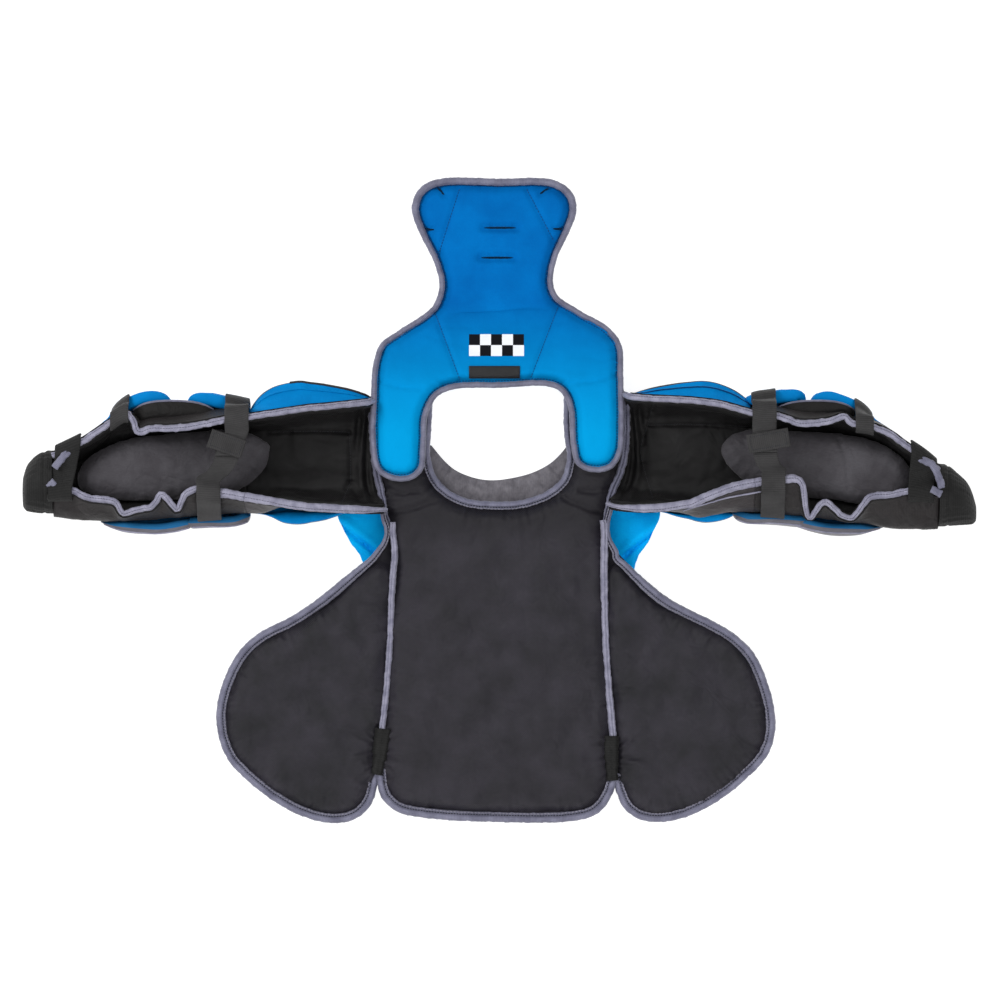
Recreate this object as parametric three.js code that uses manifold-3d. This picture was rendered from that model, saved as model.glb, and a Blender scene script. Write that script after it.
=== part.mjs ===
// A youth goalie chest and arm protector, lying on its front with the body side up.
// Millimetres. X runs from the wearer's left arm to the right arm, Y from the belly edge to the back pad,
// and Z up from the surface that it lies on. The origin is under the middle of the whole outline.
import * as THREE from "three";
import { mergeVertices } from "three/addons/utils/BufferGeometryUtils.js";
import Module from "manifold-3d";

// Driving dimensions
const GAP = 0.35; // clearance between sewn pieces
const BINDING = 8.5; // width of the edge binding as it shows from above
const PIPE = 7.4; // width of the piping between two panels
const CHEST_THICK = 32;
const WING_THICK = 26;
const WING_LIFT = 9.5; // the narrow top of each wing lies on the side pad
const SIDE_PAD_THICK = 8.9;
const BACK_THICK = 14;
const PANEL_ROUND = 8; // rounding of a stuffed panel's edge
const ARM_WALL = 9; // padded wall of an arm trough
const ARM_FLOOR = 13.2; // middle of the wall under the arm
const WALL_BULGE = 1; // how far a wall stands out below its rim
const WALL_BEND = 25; // height where a wall turns into the floor
const WALL_WAIST = 0.58; // share of the rim's height where a wall is widest
const FLOOR_CORNER = 20; // a wall's sideways run from its bend to the floor
const GUARD_THICK = 8; // foam guards on the outside of the arm
const GUARD_CLEAR = 5.2; // room between wall and guard where the elbow cup stands
const GUARD_LIP = 0.3; // share of a guard's low bulge that its lip keeps
const CUP_THICK = 3; // thin elbow cup between wall and guard
const LINER_LOW = 18.2; // underside of the elbow liner, on the trough's floor
const LINER_HIGH = 40;
const STRAP_THICK = 2.4; // elastic webbing
const CUFF_WALL = 3;
const LABEL_THICK = 1;
const SHOULDER_END = 134; // where the arm wall starts, from the middle
const SHOULDER_BLEND = 190; // past this the arm's sections stand square
const ELBOW = 254; // where the upper arm meets the forearm
const STRIP_ROUND = 0.3; // share of a binding's height that its outer face loses at each corner
const STEPS = 2; // points for each span of a smooth outline

const FABRIC = { black: 0x242327, grey: 0x6d6c78, blue: 0x0673c4, liner: 0x3c3b40, collar: 0x55514f };

const table = (columns, rows) =>
  rows.map((row) => Object.fromEntries(columns.map((name, i) => [name, row[i]])));

// Chest panel, as runs of its edge. Each run is the pad's own edge, inside its binding.
const POINT = ["x", "y"];
const CHEST_RUNS = {
  bottom: table(POINT, [
    [-111, -277], [-107, -292], [-96, -301], [-68, -307], [0, -311.5], [68, -311], [93, -306], [102, -294],
    [107, -279],
  ]),
  rightSeam: table(POINT, [
    [107, -270], [107, -246], [107, -232], [106, -200], [103.5, -140], [102, -60], [101, -25],
  ]),
  rightArmhole: table(POINT, [[104, -5], [108, 8], [118, 34], [122, 60], [122, 105]]),
  neck: table(POINT, [
    [73, 106], [73, 70], [76, 42], [69, 17], [51, 1], [22, -9], [-5, -10.5], [-36, -7], [-58, 4],
    [-72, 20], [-79, 45], [-78, 70], [-76, 106],
  ]),
  leftArmhole: table(POINT, [[-125, 104], [-122, 50], [-118, 22], [-113, 0], [-110, -15]]),
  leftSeam: table(POINT, [
    [-109, -25], [-104, -60], [-106, -110], [-109, -180], [-112, -226], [-112, -240], [-112, -268],
  ]),
};

// Wings: the visible outer edge of the binding, then the edge beside the chest seam.
const WINGS = {
  left: {
    outer: table(POINT, [
      [-121, -49], [-130, -58], [-150, -75], [-180, -100], [-210, -120], [-238, -134], [-257, -150],
      [-272, -175], [-281, -205], [-281, -230], [-272, -257], [-250, -281], [-222, -302], [-194, -316],
      [-165, -321.5], [-143, -316], [-130, -303], [-122, -284],
    ]),
    seam: table(POINT, [
      [-127.4, -268], [-127.4, -246], [-127.2, -231], [-121.4, -222], [-118.6, -190], [-114.2, -110],
      [-112.8, -76],
    ]),
  },
  right: {
    outer: table(POINT, [
      [117, -54], [124, -63], [140, -80], [165, -99], [190, -112], [212, -122], [235, -136], [252, -155],
      [265, -182], [274, -212], [274, -235], [267, -257], [250, -278], [225, -299], [198, -314],
      [170, -321.5], [145, -320], [128, -308], [119, -288],
    ]),
    seam: table(POINT, [
      [122.4, -272], [122.4, -250], [122.2, -237], [116.2, -229], [114.9, -200], [111.8, -140],
      [110.3, -78],
    ]),
  },
};

// Elastic tabs that bridge the lower end of each seam, and the piping's two ends.
const SEAMS = {
  left: { run: "leftSeam", pipeFrom: -22, pipeTo: -232, tabTo: -270 },
  right: { run: "rightSeam", pipeFrom: -22, pipeTo: -238, tabTo: -274 },
};
const TAB_WIDTH = 14;

const SIDE_PADS = {
  left: table(POINT, [
    [-163, -23.4], [-140, -21.4], [-130, -16], [-119, -15], [-118, -40], [-122, -74], [-135, -88],
    [-150, -60], [-160, -36],
  ]),
  right: table(POINT, [
    [161, -24.1], [140, -22.1], [126, -16], [113, -12], [112, -40], [117, -76], [130, -90], [146, -56],
    [157, -34],
  ]),
};

// Back pad: the visible outer edge of its binding, from the top left round by the left strap.
const BACK_OUTLINE = table(POINT, [
  [0, 320.8], [-62, 320.4], [-80, 311], [-87, 292], [-79, 267], [-66, 240], [-60, 216], [-67, 194],
  [-100, 170], [-119, 156], [-126, 135], [-128, 100], [-128.5, 55], [-123, 30], [-108, 20.5], [-90, 20.5],
  [-78, 30], [-75, 55], [-73, 85], [-63, 104], [-46, 111.5], [0, 113], [48, 114], [62, 107], [67, 92],
  [69, 58], [76, 36], [93, 28.5], [111, 32], [121, 47], [123, 72], [121.5, 125], [117, 152], [102, 168],
  [74, 184], [56, 202], [52, 220], [58, 245], [70, 270], [76, 292], [70, 309], [52, 319.9],
]);
// The pad slopes from the top of the shoulders down to the surface behind the neck.
const BACK_DRAPE = table(
  ["y", "z"],
  [[0, 32.4], [108, 32.4], [122, 29], [145, 17], [168, 6.5], [190, 1.2], [206, 0], [340, 0]],
);
const NECK_LABEL = { left: -31, right: 20, low: 121.5, high: 134 };

// Collar: a band that stands out of the neckline into the neck hole.
const COLLAR = table(["x", "y", "reach"], [
  [-72, 20, 4], [-58, 4, 15], [-36, -7, 22], [-5, -10.5, 25], [22, -9, 25], [51, 1, 17], [69, 17, 5],
]);
const COLLAR_LOW = 4;
const COLLAR_HIGH = 12;

// Arms. Rims are the ends of the trough's walls, and "out" is the distance from the middle.
const RIM = ["out", "y", "z"];
const WALL = ["out", "top", "low"];
const ARMS = [
  {
    name: "left",
    side: -1,
    topRim: table(RIM, [
      [134, 98, 48], [160, 97, 62], [190, 93, 72], [220, 88, 76], [254, 82, 76], [274, 80, 76],
      [300, 75, 76], [328, 72, 74], [346, 72, 72], [360, 69, 70], [366, 80, 70], [372, 86, 70],
      [388, 79, 67], [402, 71, 64], [415, 63, 60], [446, 47, 52],
    ]),
    lowRim: table(RIM, [
      [134, -6, 46], [162, -9, 58], [190, -6, 68], [220, -1, 72], [254, 3, 72], [288, 8, 72],
      [300, 10, 72], [311, 7, 68], [322, -8, 60], [336, 6, 68], [349, -7, 60], [370, -13, 56],
      [382, -11, 56], [390, -4, 58], [410, 1, 56], [428, 10, 54], [446, 8, 52],
    ]),
    wall: table(WALL, [
      [134, 99, -9], [190, 96, -11], [250, 87, -8], [330, 83, -13], [400, 74, -16], [446, 49, -12],
    ]),
    liner: table(POINT, [
      [-236, 52], [-262, 64], [-300, 63], [-335, 60], [-368, 56], [-396, 46], [-414, 32], [-417, 16],
      [-404, 9], [-380, 5], [-345, 5], [-300, 8], [-266, 14], [-242, 32],
    ]),
    elbowStrap: { topOut: 262, tabOut: 272, lowOut: 290, tabY: 54 },
    guardShift: 0,
    wristRise: 1,
    cuff: table(["out", "y", "ry", "rz"], [[446.8, 18, 32, 29], [462, 15, 30, 28], [477.5, 10, 23, 23]]),
  },
  {
    name: "right",
    side: 1,
    topRim: table(RIM, [
      [134, 104, 48], [155, 102, 62], [190, 99, 72], [220, 95, 76], [254, 86, 76], [276, 84, 76],
      [300, 77, 76], [328, 79, 74], [343, 83, 72], [350, 77, 70], [368, 74, 68], [388, 66, 64],
      [402, 58, 60], [424, 45, 55], [438, 33, 50],
    ]),
    lowRim: table(RIM, [
      [134, -3, 46], [155, -6, 58], [180, -6, 66], [210, 1, 70], [235, 11, 72], [254, 15, 72],
      [284, 19, 72], [296, 17, 72], [302, -4, 62], [308, -16, 58], [322, 0, 66], [335, -10, 60],
      [350, -16, 56], [362, -7, 58], [374, 3, 60], [390, 5, 58], [412, 8, 55], [438, 6, 50],
    ]),
    wall: table(WALL, [
      [134, 104, -8], [190, 101, -12], [250, 91, -6], [330, 84, -14], [400, 66, -23], [438, 36, -24],
    ]),
    liner: table(POINT, [
      [226, 50], [236, 61], [262, 65], [300, 63], [335, 61], [365, 56], [390, 45], [408, 26], [408, 8],
      [390, 0], [362, 1], [335, 6], [300, 9], [262, 16], [238, 32],
    ]),
    elbowStrap: { topOut: 263, tabOut: 264, lowOut: 272, tabY: 58 },
    guardShift: -16,
    wristRise: 1.9,
    cuff: table(["out", "y", "ry", "rz"], [[438.8, 4, 31, 28], [456, 0, 30, 28], [477.5, -2, 23, 23]]),
  },
];
const ELBOW_STRAP_WIDTH = 24;
const WRIST_STRAP = { width: 24, before: 16 }; // its middle, back from the end of the arm
const GUARD_STRAP_WIDTH = 17;

// Guards: how far each lip stands out past the wall, and how high it reaches, on both sides of the arm.
const LIPS = ["out", "topReach", "topZ", "lowReach", "lowZ"];
const SHOULDER_CAP = table(LIPS, [
  [138, 0, 34, 0, 18], [160, 8, 46, 0, 22], [186, 14, 52, 3, 34], [205, 16, 53, 5, 36],
  [222, 15, 52, 2, 32], [236, 7, 46, 0, 24], [246, 0, 36, 0, 18],
]);
const ELBOW_GUARD = table(LIPS, [
  [252, 1, 44, 1, 30], [262, 4, 52, 3, 40], [285, 6, 54, 5, 42], [302, 6, 54, 6, 42], [311, 0, 40, 4, 38],
]);
const FOREARM_GUARD = table(LIPS, [
  [313, 0, 30, 4, 38], [327, 0, 32, 7, 40], [334, 7, 52, 8, 40], [352, 8, 54, 8, 40], [370, 5, 50, 6, 38],
  [386, 0, 32, 4, 32], [400, 0, 24, 0, 22],
]);
const ELBOW_CUP = table(["out", "reach", "z"], [
  [290, 0, 44], [305, 3, 58], [330, 4, 62], [352, 3, 60], [366, 0, 46],
]);
const CUP_LOW = 35;

const wasm = await Module();
wasm.setup();

// A smooth line through a table of points.
function curve(rows, closed = false, steps = STEPS) {
  const points = rows.map((row) => new THREE.Vector3(row.x, row.y, 0));
  const line = new THREE.CatmullRomCurve3(points, closed, "centripetal");
  const spans = closed ? rows.length : rows.length - 1;
  const sampled = line.getPoints(spans * steps);
  if (closed) sampled.pop();
  return sampled.map((p) => new THREE.Vector2(p.x, p.y));
}

// The unit normal to the right of a line's direction at one of its points.
function sideNormal(line, i, closed) {
  const last = line.length - 1;
  const before = line[i > 0 ? i - 1 : closed ? last : 0];
  const after = line[i < last ? i + 1 : closed ? 0 : last];
  const along = after.clone().sub(before).normalize();
  return new THREE.Vector2(along.y, -along.x);
}

function offset(line, distance, closed = false) {
  return line.map((p, i) => p.clone().addScaledVector(sideNormal(line, i, closed), distance));
}

// One row of a table at a place between its rows.
function rowAt(rows, key, place) {
  const after = rows.findIndex((row) => row[key] >= place);
  if (after <= 0) return after === 0 ? rows[0] : rows[rows.length - 1];
  const [a, b] = [rows[after - 1], rows[after]];
  const share = (place - a[key]) / (b[key] - a[key]);
  const between = (name) => [name, THREE.MathUtils.lerp(a[name], b[name], share)];
  return Object.fromEntries(Object.keys(a).map(between));
}

// A body through a row of rings with equal, even numbers of points.
// An end is closed by strips across its ring.
function loft(rings, closed = false) {
  const sides = rings[0].length;
  const index = [];
  const count = closed ? rings.length : rings.length - 1;
  for (let j = 0; j < count; j++) {
    const [base, next] = [j * sides, ((j + 1) % rings.length) * sides];
    for (let i = 0; i < sides; i++) {
      const k = (i + 1) % sides;
      index.push(base + i, base + k, next + k, base + i, next + k, next + i);
    }
  }
  for (const j of closed ? [] : [0, rings.length - 1]) {
    for (let i = 0; i < sides / 2 - 1; i++) {
      const [a, b, c, d] = [i, i + 1, sides - 2 - i, sides - 1 - i].map((k) => j * sides + k);
      index.push(...(j > 0 ? [a, b, c, a, c, d] : [a, c, b, a, d, c]));
    }
  }
  const positions = rings.flat().flatMap((p) => [p.x, p.y, p.z]);
  return facingOut(new THREE.BufferGeometry()
    .setAttribute("position", new THREE.Float32BufferAttribute(positions, 3))
    .setIndex(index));
}

// Turns a closed body's faces round where they point inwards.
function facingOut(geometry) {
  const [at, index] = [geometry.attributes.position, geometry.index.array];
  const corner = (i) => new THREE.Vector3().fromBufferAttribute(at, i);
  let volume = 0;
  for (let i = 0; i < index.length; i += 3)
    volume += corner(index[i]).dot(corner(index[i + 1]).cross(corner(index[i + 2])));
  const turned = volume < 0 ? index.length : 0;
  for (let i = 0; i < turned; i += 3) [index[i], index[i + 1]] = [index[i + 1], index[i]];
  geometry.computeVertexNormals();
  return geometry;
}

// A stuffed panel: an outline with rounded upper and lower edges.
function panel(outline, low, high, round = PANEL_ROUND, spread = round) {
  return new THREE.ExtrudeGeometry(new THREE.Shape(outline), {
    depth: high - low - 2 * round,
    bevelThickness: round,
    bevelSize: spread,
    bevelOffset: -spread,
    bevelSegments: 1,
    curveSegments: 1,
  }).translate(0, 0, low + round);
}

// Moves a geometry's points up by a rise that depends on their place.
function raise(geometry, rise) {
  const at = geometry.attributes.position;
  for (let i = 0; i < at.count; i++) at.setZ(i, at.getZ(i) + rise(at.getX(i), at.getY(i)));
  geometry.computeVertexNormals();
  return geometry;
}

// A rounded strip along the outside of a line. outwards is 1 where the outside is to the line's right.
function strip(line, { outwards = 1, width, low, high, rise = () => 0, closed = false, near = GAP }) {
  const [corner, far] = [(high - low) * STRIP_ROUND, near + width];
  const section = [[near, low], [far, low + corner], [far, high - corner], [near, high]];
  const rings = line.map((p, i) => {
    const normal = sideNormal(line, i, closed).multiplyScalar(outwards);
    const lift = rise(p.x, p.y);
    const place = ([out, z]) => new THREE.Vector3(p.x + normal.x * out, p.y + normal.y * out, z + lift);
    return section.map(place);
  });
  return loft(rings, closed);
}

// Booleans
function solid(geometry) {
  const bare = new THREE.BufferGeometry().setAttribute("position", geometry.attributes.position);
  if (geometry.index) bare.setIndex(geometry.index);
  const merged = mergeVertices(bare, 1e-4);
  return new wasm.Manifold(new wasm.Mesh({
    numProp: 3,
    vertProperties: merged.attributes.position.array,
    triVerts: new Uint32Array(merged.index.array),
  }));
}

function geometryOf(body) {
  const { vertProperties, triVerts } = body.getMesh();
  const geometry = new THREE.BufferGeometry()
    .setAttribute("position", new THREE.BufferAttribute(vertProperties, 3))
    .setIndex(new THREE.BufferAttribute(triVerts, 1));
  geometry.computeVertexNormals();
  return geometry;
}

// Materials and nodes
const cloth = (color, roughness) => new THREE.MeshStandardMaterial({ color, roughness, metalness: 0 });
const MATERIALS = {
  lining: cloth(FABRIC.black, 0.62),
  binding: cloth(FABRIC.grey, 0.7),
  blueFoam: cloth(FABRIC.blue, 0.75),
  liner: cloth(FABRIC.liner, 0.85),
  webbing: cloth(FABRIC.black, 0.9),
  collar: cloth(FABRIC.collar, 0.9),
};
const protector = new THREE.Group();
protector.name = "goalie_chest_protector";

function piece(name, geometry, material, parent = protector) {
  const mesh = new THREE.Mesh(geometry, material);
  mesh.name = name;
  parent.add(mesh);
  return mesh;
}

// Chest, seams, wings and side pads
const wingRise = (x, y) => WING_LIFT * THREE.MathUtils.smoothstep(y, -118, -88);

function chest() {
  const runs = Object.values(CHEST_RUNS).map((rows) => curve(rows));
  piece("chest_panel", panel(runs.flat(), 0, CHEST_THICK), MATERIALS.lining);
  const edges = { bottom: "belly_binding", neck: "neck_binding" };
  for (const [run, name] of Object.entries(edges))
    piece(name, strip(curve(CHEST_RUNS[run]), { width: BINDING, low: 7, high: 25 }), MATERIALS.binding);
  for (const side of ["left", "right"]) {
    const line = curve(CHEST_RUNS[`${side}Armhole`]);
    piece(`${side}_armhole_binding`, strip(line, { width: PIPE, low: 8, high: 30 }), MATERIALS.binding);
  }
}

// The stretch of a seam between two heights up the chest.
function stretch(line, from, to) {
  const [low, high] = [Math.min(from, to), Math.max(from, to)];
  return line.filter((p) => p.y >= low && p.y <= high);
}

function seam(side) {
  const { run, pipeFrom, pipeTo, tabTo } = SEAMS[side];
  const line = curve(CHEST_RUNS[run], false, STEPS * 2);
  const pipe = { width: PIPE, low: 8, high: 27 };
  piece(`${side}_seam_piping`, strip(stretch(line, pipeFrom, pipeTo), pipe), MATERIALS.binding);
  const tab = { width: TAB_WIDTH, low: 12, high: 26 };
  piece(`${side}_elastic_tab`, strip(stretch(line, pipeTo - 1, tabTo), tab), MATERIALS.webbing);
}

function wing(side) {
  const { outer, seam: seamRows } = WINGS[side];
  const outwards = side === "left" ? 1 : -1;
  const edge = offset(curve(outer), -outwards * (BINDING + GAP));
  const padEdge = edge.slice(STEPS); // the binding alone makes the tip
  const shape = panel([...padEdge, ...curve(seamRows)], 0, WING_THICK, 7, 3);
  piece(`${side}_wing`, raise(shape, wingRise), MATERIALS.lining);
  const binding = strip(edge, { outwards, width: BINDING, low: 5, high: 21, rise: wingRise });
  piece(`${side}_wing_binding`, binding, MATERIALS.binding);
  const pad = panel(curve(SIDE_PADS[side], true), 0, SIDE_PAD_THICK, 3);
  piece(`${side}_side_pad`, pad, MATERIALS.blueFoam);
}

function collar() {
  const line = curve(COLLAR);
  const inwards = line.map((p, i) => sideNormal(line, i).multiplyScalar(-1));
  const rings = line.map((p, i) => {
    const { reach } = rowAt(COLLAR, "x", p.x);
    const place = (out, z) => new THREE.Vector3(p.x + inwards[i].x * out, p.y + inwards[i].y * out, z);
    const root = BINDING + 2.6 * GAP;
    const tip = root + reach - BINDING / 2;
    const [upper, lower] = [[root, COLLAR_HIGH], [tip, COLLAR_HIGH - 2]].map((at) => place(...at));
    return [place(root, COLLAR_LOW), upper, lower, place(tip, COLLAR_LOW)];
  });
  piece("collar", loft(rings), MATERIALS.collar);
}

// Back pad
function backPad() {
  const edge = offset(curve(BACK_OUTLINE, true), -(BINDING + GAP), true);
  const rise = (x, y) => rowAt(BACK_DRAPE, "y", y).z;
  const profile = [
    ...BACK_DRAPE.map(({ y, z }) => new THREE.Vector2(y, z)),
    ...BACK_DRAPE.map(({ y, z }) => new THREE.Vector2(y, z + BACK_THICK)).reverse(),
  ];
  const width = 400;
  const turn = new THREE.Matrix4().makeBasis(
    new THREE.Vector3(0, 1, 0), new THREE.Vector3(0, 0, 1), new THREE.Vector3(1, 0, 0));
  const slab = new THREE.ExtrudeGeometry(new THREE.Shape(profile), { depth: width, bevelEnabled: false })
    .translate(0, 0, -width / 2)
    .applyMatrix4(turn);
  const prism = new THREE.ExtrudeGeometry(new THREE.Shape(edge), { depth: 200, bevelEnabled: false })
    .translate(0, 0, -100);
  piece("back_pad", geometryOf(solid(prism).intersect(solid(slab))), MATERIALS.blueFoam);
  const binding = { width: BINDING, low: 0.8, high: BACK_THICK - 0.8, rise, closed: true };
  piece("back_binding", strip(edge, binding), MATERIALS.binding);
  const { left, right, low, high } = NECK_LABEL;
  const rings = [low, (low + high) / 2, high].map((y) => {
    const z = rise(0, y) + BACK_THICK + GAP;
    return [[left, z], [right, z], [right, z + LABEL_THICK], [left, z + LABEL_THICK]]
      .map(([x, height]) => new THREE.Vector3(x, y, height));
  });
  piece("neck_label", loft(rings), MATERIALS.webbing);
}

// Arms
// The middle line of a trough's wall at one place along the arm, from the top rim round to the low rim.
function wallLine(arm, out, floorShares) {
  const [top, low] = [rowAt(arm.topRim, "out", out), rowAt(arm.lowRim, "out", out)];
  const wall = rowAt(arm.wall, "out", out);
  return [
    [top.y, top.z],
    [wall.top + WALL_BULGE, top.z * WALL_WAIST],
    [wall.top - 5, WALL_BEND],
    ...floorShares.map((share) => [
      THREE.MathUtils.lerp(wall.top - FLOOR_CORNER, wall.low + FLOOR_CORNER, share), ARM_FLOOR,
    ]),
    [wall.low + 5, WALL_BEND],
    [wall.low - WALL_BULGE, low.z * WALL_WAIST],
    [low.y, low.z],
  ].map(([y, z]) => new THREE.Vector2(y, z));
}

// A shell of even thickness round a middle line.
const shell = (line, thick) => [...offset(line, -thick / 2), ...offset(line, thick / 2).reverse()];

// Where a point of an arm's section lies along the arm: the shoulder end follows the armhole.
function placeX(arm, out, y) {
  const hole = offset(curve(CHEST_RUNS[`${arm.name}Armhole`]), PIPE + 4.4 * GAP);
  const edge = Math.abs(rowAt(hole.toSorted((a, b) => a.y - b.y), "y", y).x);
  const share = THREE.MathUtils.clamp((out - SHOULDER_END) / (SHOULDER_BLEND - SHOULDER_END), 0, 1);
  return arm.side * THREE.MathUtils.lerp(edge, out, share);
}

const ringAt = (arm, out, section) => section.map((p) => new THREE.Vector3(placeX(arm, out, p.x), p.x, p.y));

// Every place along the arm where a rim bends, between two ends.
function stations(arm, from, to) {
  const bends = [...arm.topRim, ...arm.lowRim].map((row) => row.out);
  const sorted = [from, ...bends.filter((out) => out > from + 2 && out < to - 2), to].sort((a, b) => a - b);
  return sorted.filter((out, i) => i === 0 || out === to || out - sorted[i - 1] > 3);
}

function trough(arm, name, from, to, floorShares) {
  const places = stations(arm, from, to);
  const walls = places.map((out) => wallLine(arm, out, floorShares));
  const rings = places.map((out, i) => ringAt(arm, out, shell(walls[i], ARM_WALL)));
  piece(`${arm.name}_${name}`, loft(rings), MATERIALS.lining);
  for (const rim of ["top", "low"]) {
    const bound = places.map((out, i) => ringAt(arm, out, rimSection(walls[i], rim)));
    piece(`${arm.name}_${name}_${rim}_binding`, loft(bound), MATERIALS.binding);
  }
}

// The binding over the end of a wall.
function rimSection(line, rim) {
  const ends = rim === "top" ? [line[0], line[1]] : [line.at(-1), line.at(-2)];
  const up = ends[0].clone().sub(ends[1]).normalize();
  const across = new THREE.Vector2(up.y, -up.x);
  const [half, tall] = [ARM_WALL / 2 + 0.4, 6.5];
  const profile = [[-half, GAP], [half, GAP], [half * 0.6, tall], [-half * 0.6, tall]];
  return profile.map(([a, u]) => ends[0].clone().addScaledVector(across, a).addScaledVector(up, u));
}

// A foam guard that wraps the outside of the arm, from one lip under the arm to the other.
// lipShare is the part of the low side's reach that its lip keeps: below 1, the side bulges under the lip.
function guard(arm, name, lips, topClear, lipShare, shiftAt = () => 0) {
  const rings = lips.map((lip) => {
    const out = lip.out + shiftAt(lip.out);
    const wall = rowAt(arm.wall, "out", out);
    const top = wall.top + WALL_BULGE + (ARM_WALL + GUARD_THICK) / 2 + topClear;
    const low = wall.low - WALL_BULGE - (ARM_WALL + GUARD_THICK) / 2 - 2 * GAP;
    const line = [
      [top + lip.topReach, lip.topZ],
      [top + lip.topReach / 2, lip.topZ / 2 + 10],
      [top - 1, 19],
      [wall.top - FLOOR_CORNER + 3, GUARD_THICK / 2],
      [(wall.top + wall.low) / 2, GUARD_THICK / 2],
      [wall.low + FLOOR_CORNER - 3, GUARD_THICK / 2],
      [low + 1 - lip.lowReach * (1 - lipShare) * 0.8, 16],
      [low - lip.lowReach * (1 - lipShare / 2), lip.lowZ / 2 + 8],
      [low - lip.lowReach * lipShare, lip.lowZ],
    ].map(([y, z]) => new THREE.Vector2(y, z));
    return ringAt(arm, out, shell(line, GUARD_THICK));
  });
  piece(`${arm.name}_${name}`, loft(rings), MATERIALS.blueFoam);
}

function elbowCup(arm) {
  const rings = ELBOW_CUP.map((lip) => {
    const out = lip.out + arm.guardShift;
    const near = rowAt(arm.wall, "out", out).top + WALL_BULGE + ARM_WALL / 2 + 2 * GAP + CUP_THICK / 2;
    const line = [[near, CUP_LOW], [near + lip.reach / 2, (CUP_LOW + lip.z) / 2], [near + lip.reach, lip.z]]
      .map(([y, z]) => new THREE.Vector2(y, z));
    return ringAt(arm, out, shell(line, CUP_THICK));
  });
  piece(`${arm.name}_elbow_cup`, loft(rings), MATERIALS.lining);
}

// A webbing band, wide along the arm.
// pathAt gives its {out, y, z} rows for an edge at a shift along the arm.
function band(arm, name, pathAt, width) {
  const edges = [-width / 2, width / 2].map((shift) => {
    const rows = pathAt(shift);
    const line = rows.map(([, y, z]) => new THREE.Vector2(y, z));
    const place = (away) =>
      offset(line, away).map((p, i) => new THREE.Vector3(arm.side * rows[i][0], p.x, p.y));
    return [place(-STRAP_THICK / 2), place(STRAP_THICK / 2)];
  });
  const [[over, under], [farOver, farUnder]] = edges;
  const rings = over.map((p, i) => [p, farOver[i], farUnder[i], under[i]]);
  piece(`${arm.name}_${name}`, loft(rings), MATERIALS.webbing);
}

// How high a strap's middle runs over a rim's end.
const RIM_CLEAR = 9.3;

function elbowStrap(arm) {
  const { topOut, tabOut, lowOut, tabY } = arm.elbowStrap;
  const sag = 73;
  band(arm, "elbow_strap_upper", (shift) => {
    const out = topOut + shift;
    const top = rowAt(arm.topRim, "out", out);
    return [
      [out, top.y + 24, 62], [out, top.y + 14, top.z + 5], [out, top.y + 4, top.z + RIM_CLEAR],
      [out, top.y - 5, top.z + RIM_CLEAR - 2], [out, top.y - 16, sag + 5],
      [tabOut + shift, tabY - 10, sag + 4],
    ];
  }, ELBOW_STRAP_WIDTH);
  band(arm, "elbow_strap_lower", (shift) => {
    const out = lowOut + shift;
    const [low, wall] = [rowAt(arm.lowRim, "out", out), rowAt(arm.wall, "out", out)];
    return [
      [tabOut + shift, tabY + 4, sag + 1.4], [tabOut + shift, tabY - 12, sag + 0.6],
      [(tabOut + lowOut) / 2 + shift, (tabY + low.y) / 2 - 4, sag], [out, low.y + 12, sag + 2],
      [out, low.y + 3, low.z + RIM_CLEAR], [out, low.y - 7, low.z + RIM_CLEAR - 1],
      [out, (low.y + wall.low) / 2 - 10, low.z - 8], [out, wall.low - 12, 52],
    ];
  }, ELBOW_STRAP_WIDTH);
}

function wristStrap(arm) {
  const middle = arm.cuff[0].out - WRIST_STRAP.before;
  const over = RIM_CLEAR + arm.wristRise;
  band(arm, "wrist_strap", (shift) => {
    const out = middle + shift;
    const [top, low] = [rowAt(arm.topRim, "out", out), rowAt(arm.lowRim, "out", out)];
    const wall = rowAt(arm.wall, "out", out);
    return [
      [out, wall.top + 10, top.z - 8], [out, top.y + 8.4, top.z + 6], [out, top.y, top.z + over],
      [out, (top.y + low.y) / 2, (top.z + low.z) / 2 + over - 1], [out, low.y, low.z + over],
      [out, low.y - 10, low.z + 6], [out, wall.low - 10, low.z - 14],
    ];
  }, WRIST_STRAP.width);
}

// The short strap from the forearm guard over the top rim.
function guardStrap(arm) {
  const middle = 379 + arm.guardShift;
  band(arm, "guard_strap", (shift) => {
    const out = middle + shift;
    const [top, wall] = [rowAt(arm.topRim, "out", out), rowAt(arm.wall, "out", out)];
    const lip = rowAt(FOREARM_GUARD, "out", out - arm.guardShift);
    const outside = wall.top + WALL_BULGE + ARM_WALL / 2 + GUARD_CLEAR + GUARD_THICK + lip.topReach + 2.2;
    return [
      [out, outside, lip.topZ - 4], [out, outside - 1, lip.topZ + 8], [out, top.y + 12, top.z + 6],
      [out, top.y + 3, top.z + RIM_CLEAR + 1], [out, top.y - 5, top.z + RIM_CLEAR],
    ];
  }, GUARD_STRAP_WIDTH);
}

function cuff(arm) {
  const turns = 18;
  const rings = Array.from({ length: turns }, (_, i) => {
    const angle = (i / turns) * 2 * Math.PI;
    const ring = (inset) => arm.cuff.map(({ out, y, ry, rz }) => new THREE.Vector3(
      arm.side * out, y + (ry - inset) * Math.cos(angle), rz + 0.6 + (rz - inset) * Math.sin(angle)));
    return [...ring(0), ...ring(CUFF_WALL).reverse()];
  });
  piece(`${arm.name}_cuff`, loft(rings, true), MATERIALS.webbing);
}

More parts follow.
